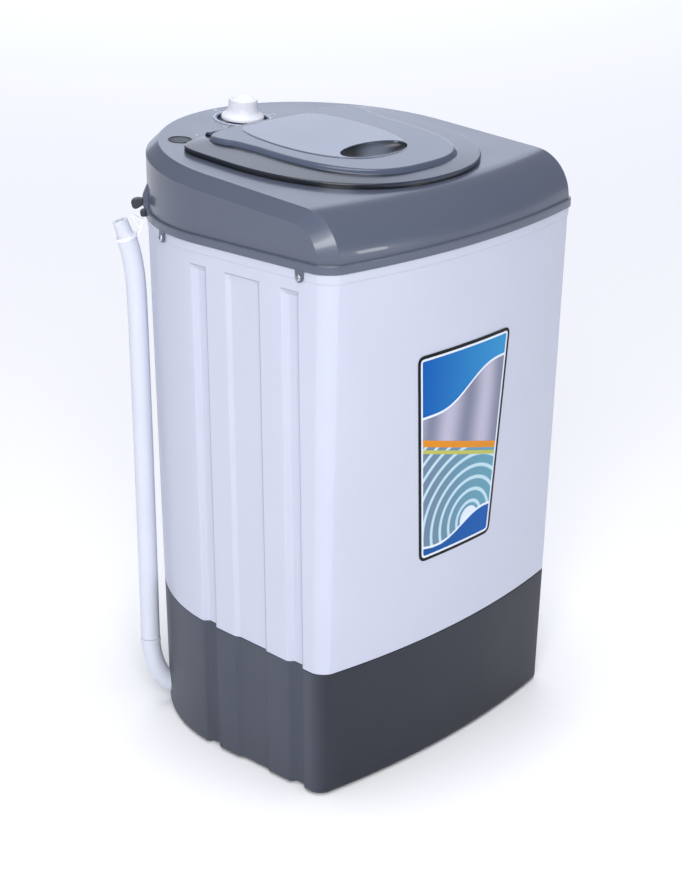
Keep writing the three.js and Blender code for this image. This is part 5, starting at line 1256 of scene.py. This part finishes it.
class DRYER_OT_fittings(Step):
    """Finish the fittings that keep their solid's shape"""
    bl_idname = "dryer.fittings"
    bl_label = "Fittings"

    def execute(self, context):
        rounded = {
            "cord_gland": ("dark", 0.0003), "foot_1": ("rubber", 0.0004),
            "foot_2": ("rubber", 0.0004), "foot_3": ("rubber", 0.0004),
            "foot_4": ("rubber", 0.0004), "tub": ("white", 0.0),
            "lid_hinge_pin_left": ("steel", 0.0), "lid_hinge_pin_right": ("steel", 0.0),
            "basket_hub": ("aluminium", 0.0003), "hub_nut": ("steel", 0.0004),
            "drive_shaft": ("steel", 0.0), "bellows_seal": ("rubber", 0.0),
            "sump_hose": ("rubber", 0.0), "brake_cable": ("dark", 0.0),
            "timer_body": ("dark", 0.0005), "motor_stator": ("steel", 0.0),
            "motor_carrier": ("aluminium", 0.0004), "brake_drum": ("aluminium", 0.0003),
            "capacitor": ("can", 0.0004),
        }
        self.strainer()
        record = frame["record"]
        record_slots = {part["node"]: part["material_slot"] for part in record["subparts"]}
        bodies = record["behaviour"]["bodies"]
        body_of = {node: body for body, nodes in bodies.items() for node in nodes}
        for node, (finish, edge) in rounded.items():
            fit(copy_of(node, 32, edge), finish, body_of[node], node)
        finish_of_slot = {
            "cover_plastic": "cover", "base_plastic": "base", "cabinet_plastic": "cabinet",
            "lid_plastic": "lid", "white_plastic": "white", "hose_plastic": "hose",
            "dark_plastic": "dark", "rubber": "rubber", "steel": "steel", "basket_steel": "basket",
            "cast_aluminium": "aluminium", "brass": "brass", "label_film": "label",
            "capacitor_case": "can",
        }
        for node, solid in frame["nodes"].items():
            give(solid, materials[finish_of_slot[record_slots[node]]])
        return {"FINISHED"}

    def strainer(self):
        """Dark cup in the inlet, with a pierced grille set level with the cover."""
        r = INLET_RADIUS - 0.4
        cup = turned("strainer_cup", (
            (0, -15), (r - 1, -15), (r, -14), (r, 0.3), (r - 0.3, 0.6), (r - 1, 0.6),
            (r - 1.3, 0.3), (r - 1.6, -13), (0, -13)), 48, *INLET)
        grille = skin("strainer_grille", [
            circle(k, 0.1, 22, *INLET) for k in (11.6, 9.3, 7, 4.7, 2.4)], caps=(False, False))
        pierce(grille, 0.00062, 0.0008)
        boss = rod("strainer_boss", 2.5, -0.7, 0.3, 24, *INLET)
        strainer = joined("inlet_strainer_skin", cup, grille, boss)
        fit(smooth(settle(strainer, TOP), 40), "dark", "casing", "inlet_strainer")


class DRYER_OT_stage(Step):
    """Lay the pale floor and set the studio lights"""
    bl_idname = "dryer.stage"
    bl_label = "Stage"

    def execute(self, context):
        deselect()
        bpy.ops.mesh.primitive_plane_add(size=30)
        floor = named("studio_floor")
        material, node, _ = blank("studio_floor_paint")
        node("OutputMaterial", {"Surface": node("BsdfPrincipled", {
            "Base Color": linear("#fcfcfe"), "Roughness": 0.95})})
        give(floor, material)
        world = bpy.data.worlds.new("studio")
        world.use_nodes = True
        world.node_tree.nodes.clear()
        sky = partial(add_node, world.node_tree)
        light = sky("Background", {"Color": linear("#eef1ff"), "Strength": 0.34})
        sky("OutputWorld", {"Surface": light})
        context.scene.world = world
        lights = (
            ("key", (-1.6, -1.4, 1.55), 1.0, 25, "#ffffff"),
            ("left", (-3.4, 0.8, 1.1), 2.4, 6, "#ffffff"),
            ("back", (4.2, 4.5, 2.4), 4.4, 52, "#e3ecff"),
            ("glint", (1.3, -3.1, 0.62), 0.36, 4, "#ffffff"),
        )
        bpy.ops.object.light_add(type="SUN", location=(0, 0, 3))
        sun = named("studio_overhead")
        sun.data.energy = 1.5
        sun.data.angle = math.radians(40)
        for name, place, size, power, tone in lights:
            bpy.ops.object.light_add(type="AREA", location=place)
            lamp = bpy.context.object
            lamp.name = f"studio_{name}"
            lamp.data.size = size
            lamp.data.energy = power
            lamp.data.color = linear(tone)[:3]
            lamp.data.spread = math.radians(150)
            lamp.visible_camera = False
            aim = Vector((0, 0, 0.35)) - Vector(place)
            lamp.rotation_euler = aim.to_track_quat("-Z", "Y").to_euler()
        context.scene.view_settings.view_transform = "Standard"
        return {"FINISHED"}


class DRYER_PT_panel(bpy.types.Panel):
    """Sizes, colours and steps of the spin dryer"""
    bl_idname = "DRYER_PT_panel"
    bl_label = "Laundry spin dryer"
    bl_space_type = "VIEW_3D"
    bl_region_type = "UI"
    bl_category = "Spin dryer"

    def draw(self, context):
        for group in (context.scene.dryer_sizes, context.scene.dryer_colours):
            for key in group.bl_rna.properties.keys():
                if key not in ("rna_type", "name"):
                    self.layout.prop(group, key)
        for step in STEPS:
            self.layout.operator(step.bl_idname)


STEPS = (
    DRYER_OT_camera, DRYER_OT_hose, DRYER_OT_base, DRYER_OT_cabinet, DRYER_OT_cover,
    DRYER_OT_screws, DRYER_OT_lid, DRYER_OT_dial, DRYER_OT_label, DRYER_OT_basket,
    DRYER_OT_fittings, DRYER_OT_stage,
)
CLASSES = (DryerColours, DryerSizes, *STEPS, DRYER_PT_panel)
materials = {}


def register():
    for made in CLASSES:
        bpy.utils.register_class(made)
    bpy.types.Scene.dryer_colours = PointerProperty(type=DryerColours)
    bpy.types.Scene.dryer_sizes = PointerProperty(type=DryerSizes)


def unregister():
    del bpy.types.Scene.dryer_colours
    del bpy.types.Scene.dryer_sizes
    for made in reversed(CLASSES):
        bpy.utils.unregister_class(made)


def main():
    register()
    materials.update(make_materials())
    for step in STEPS:
        group, name = step.bl_idname.split(".")
        getattr(getattr(bpy.ops, group), name)()


if __name__ == "__main__":
    main()
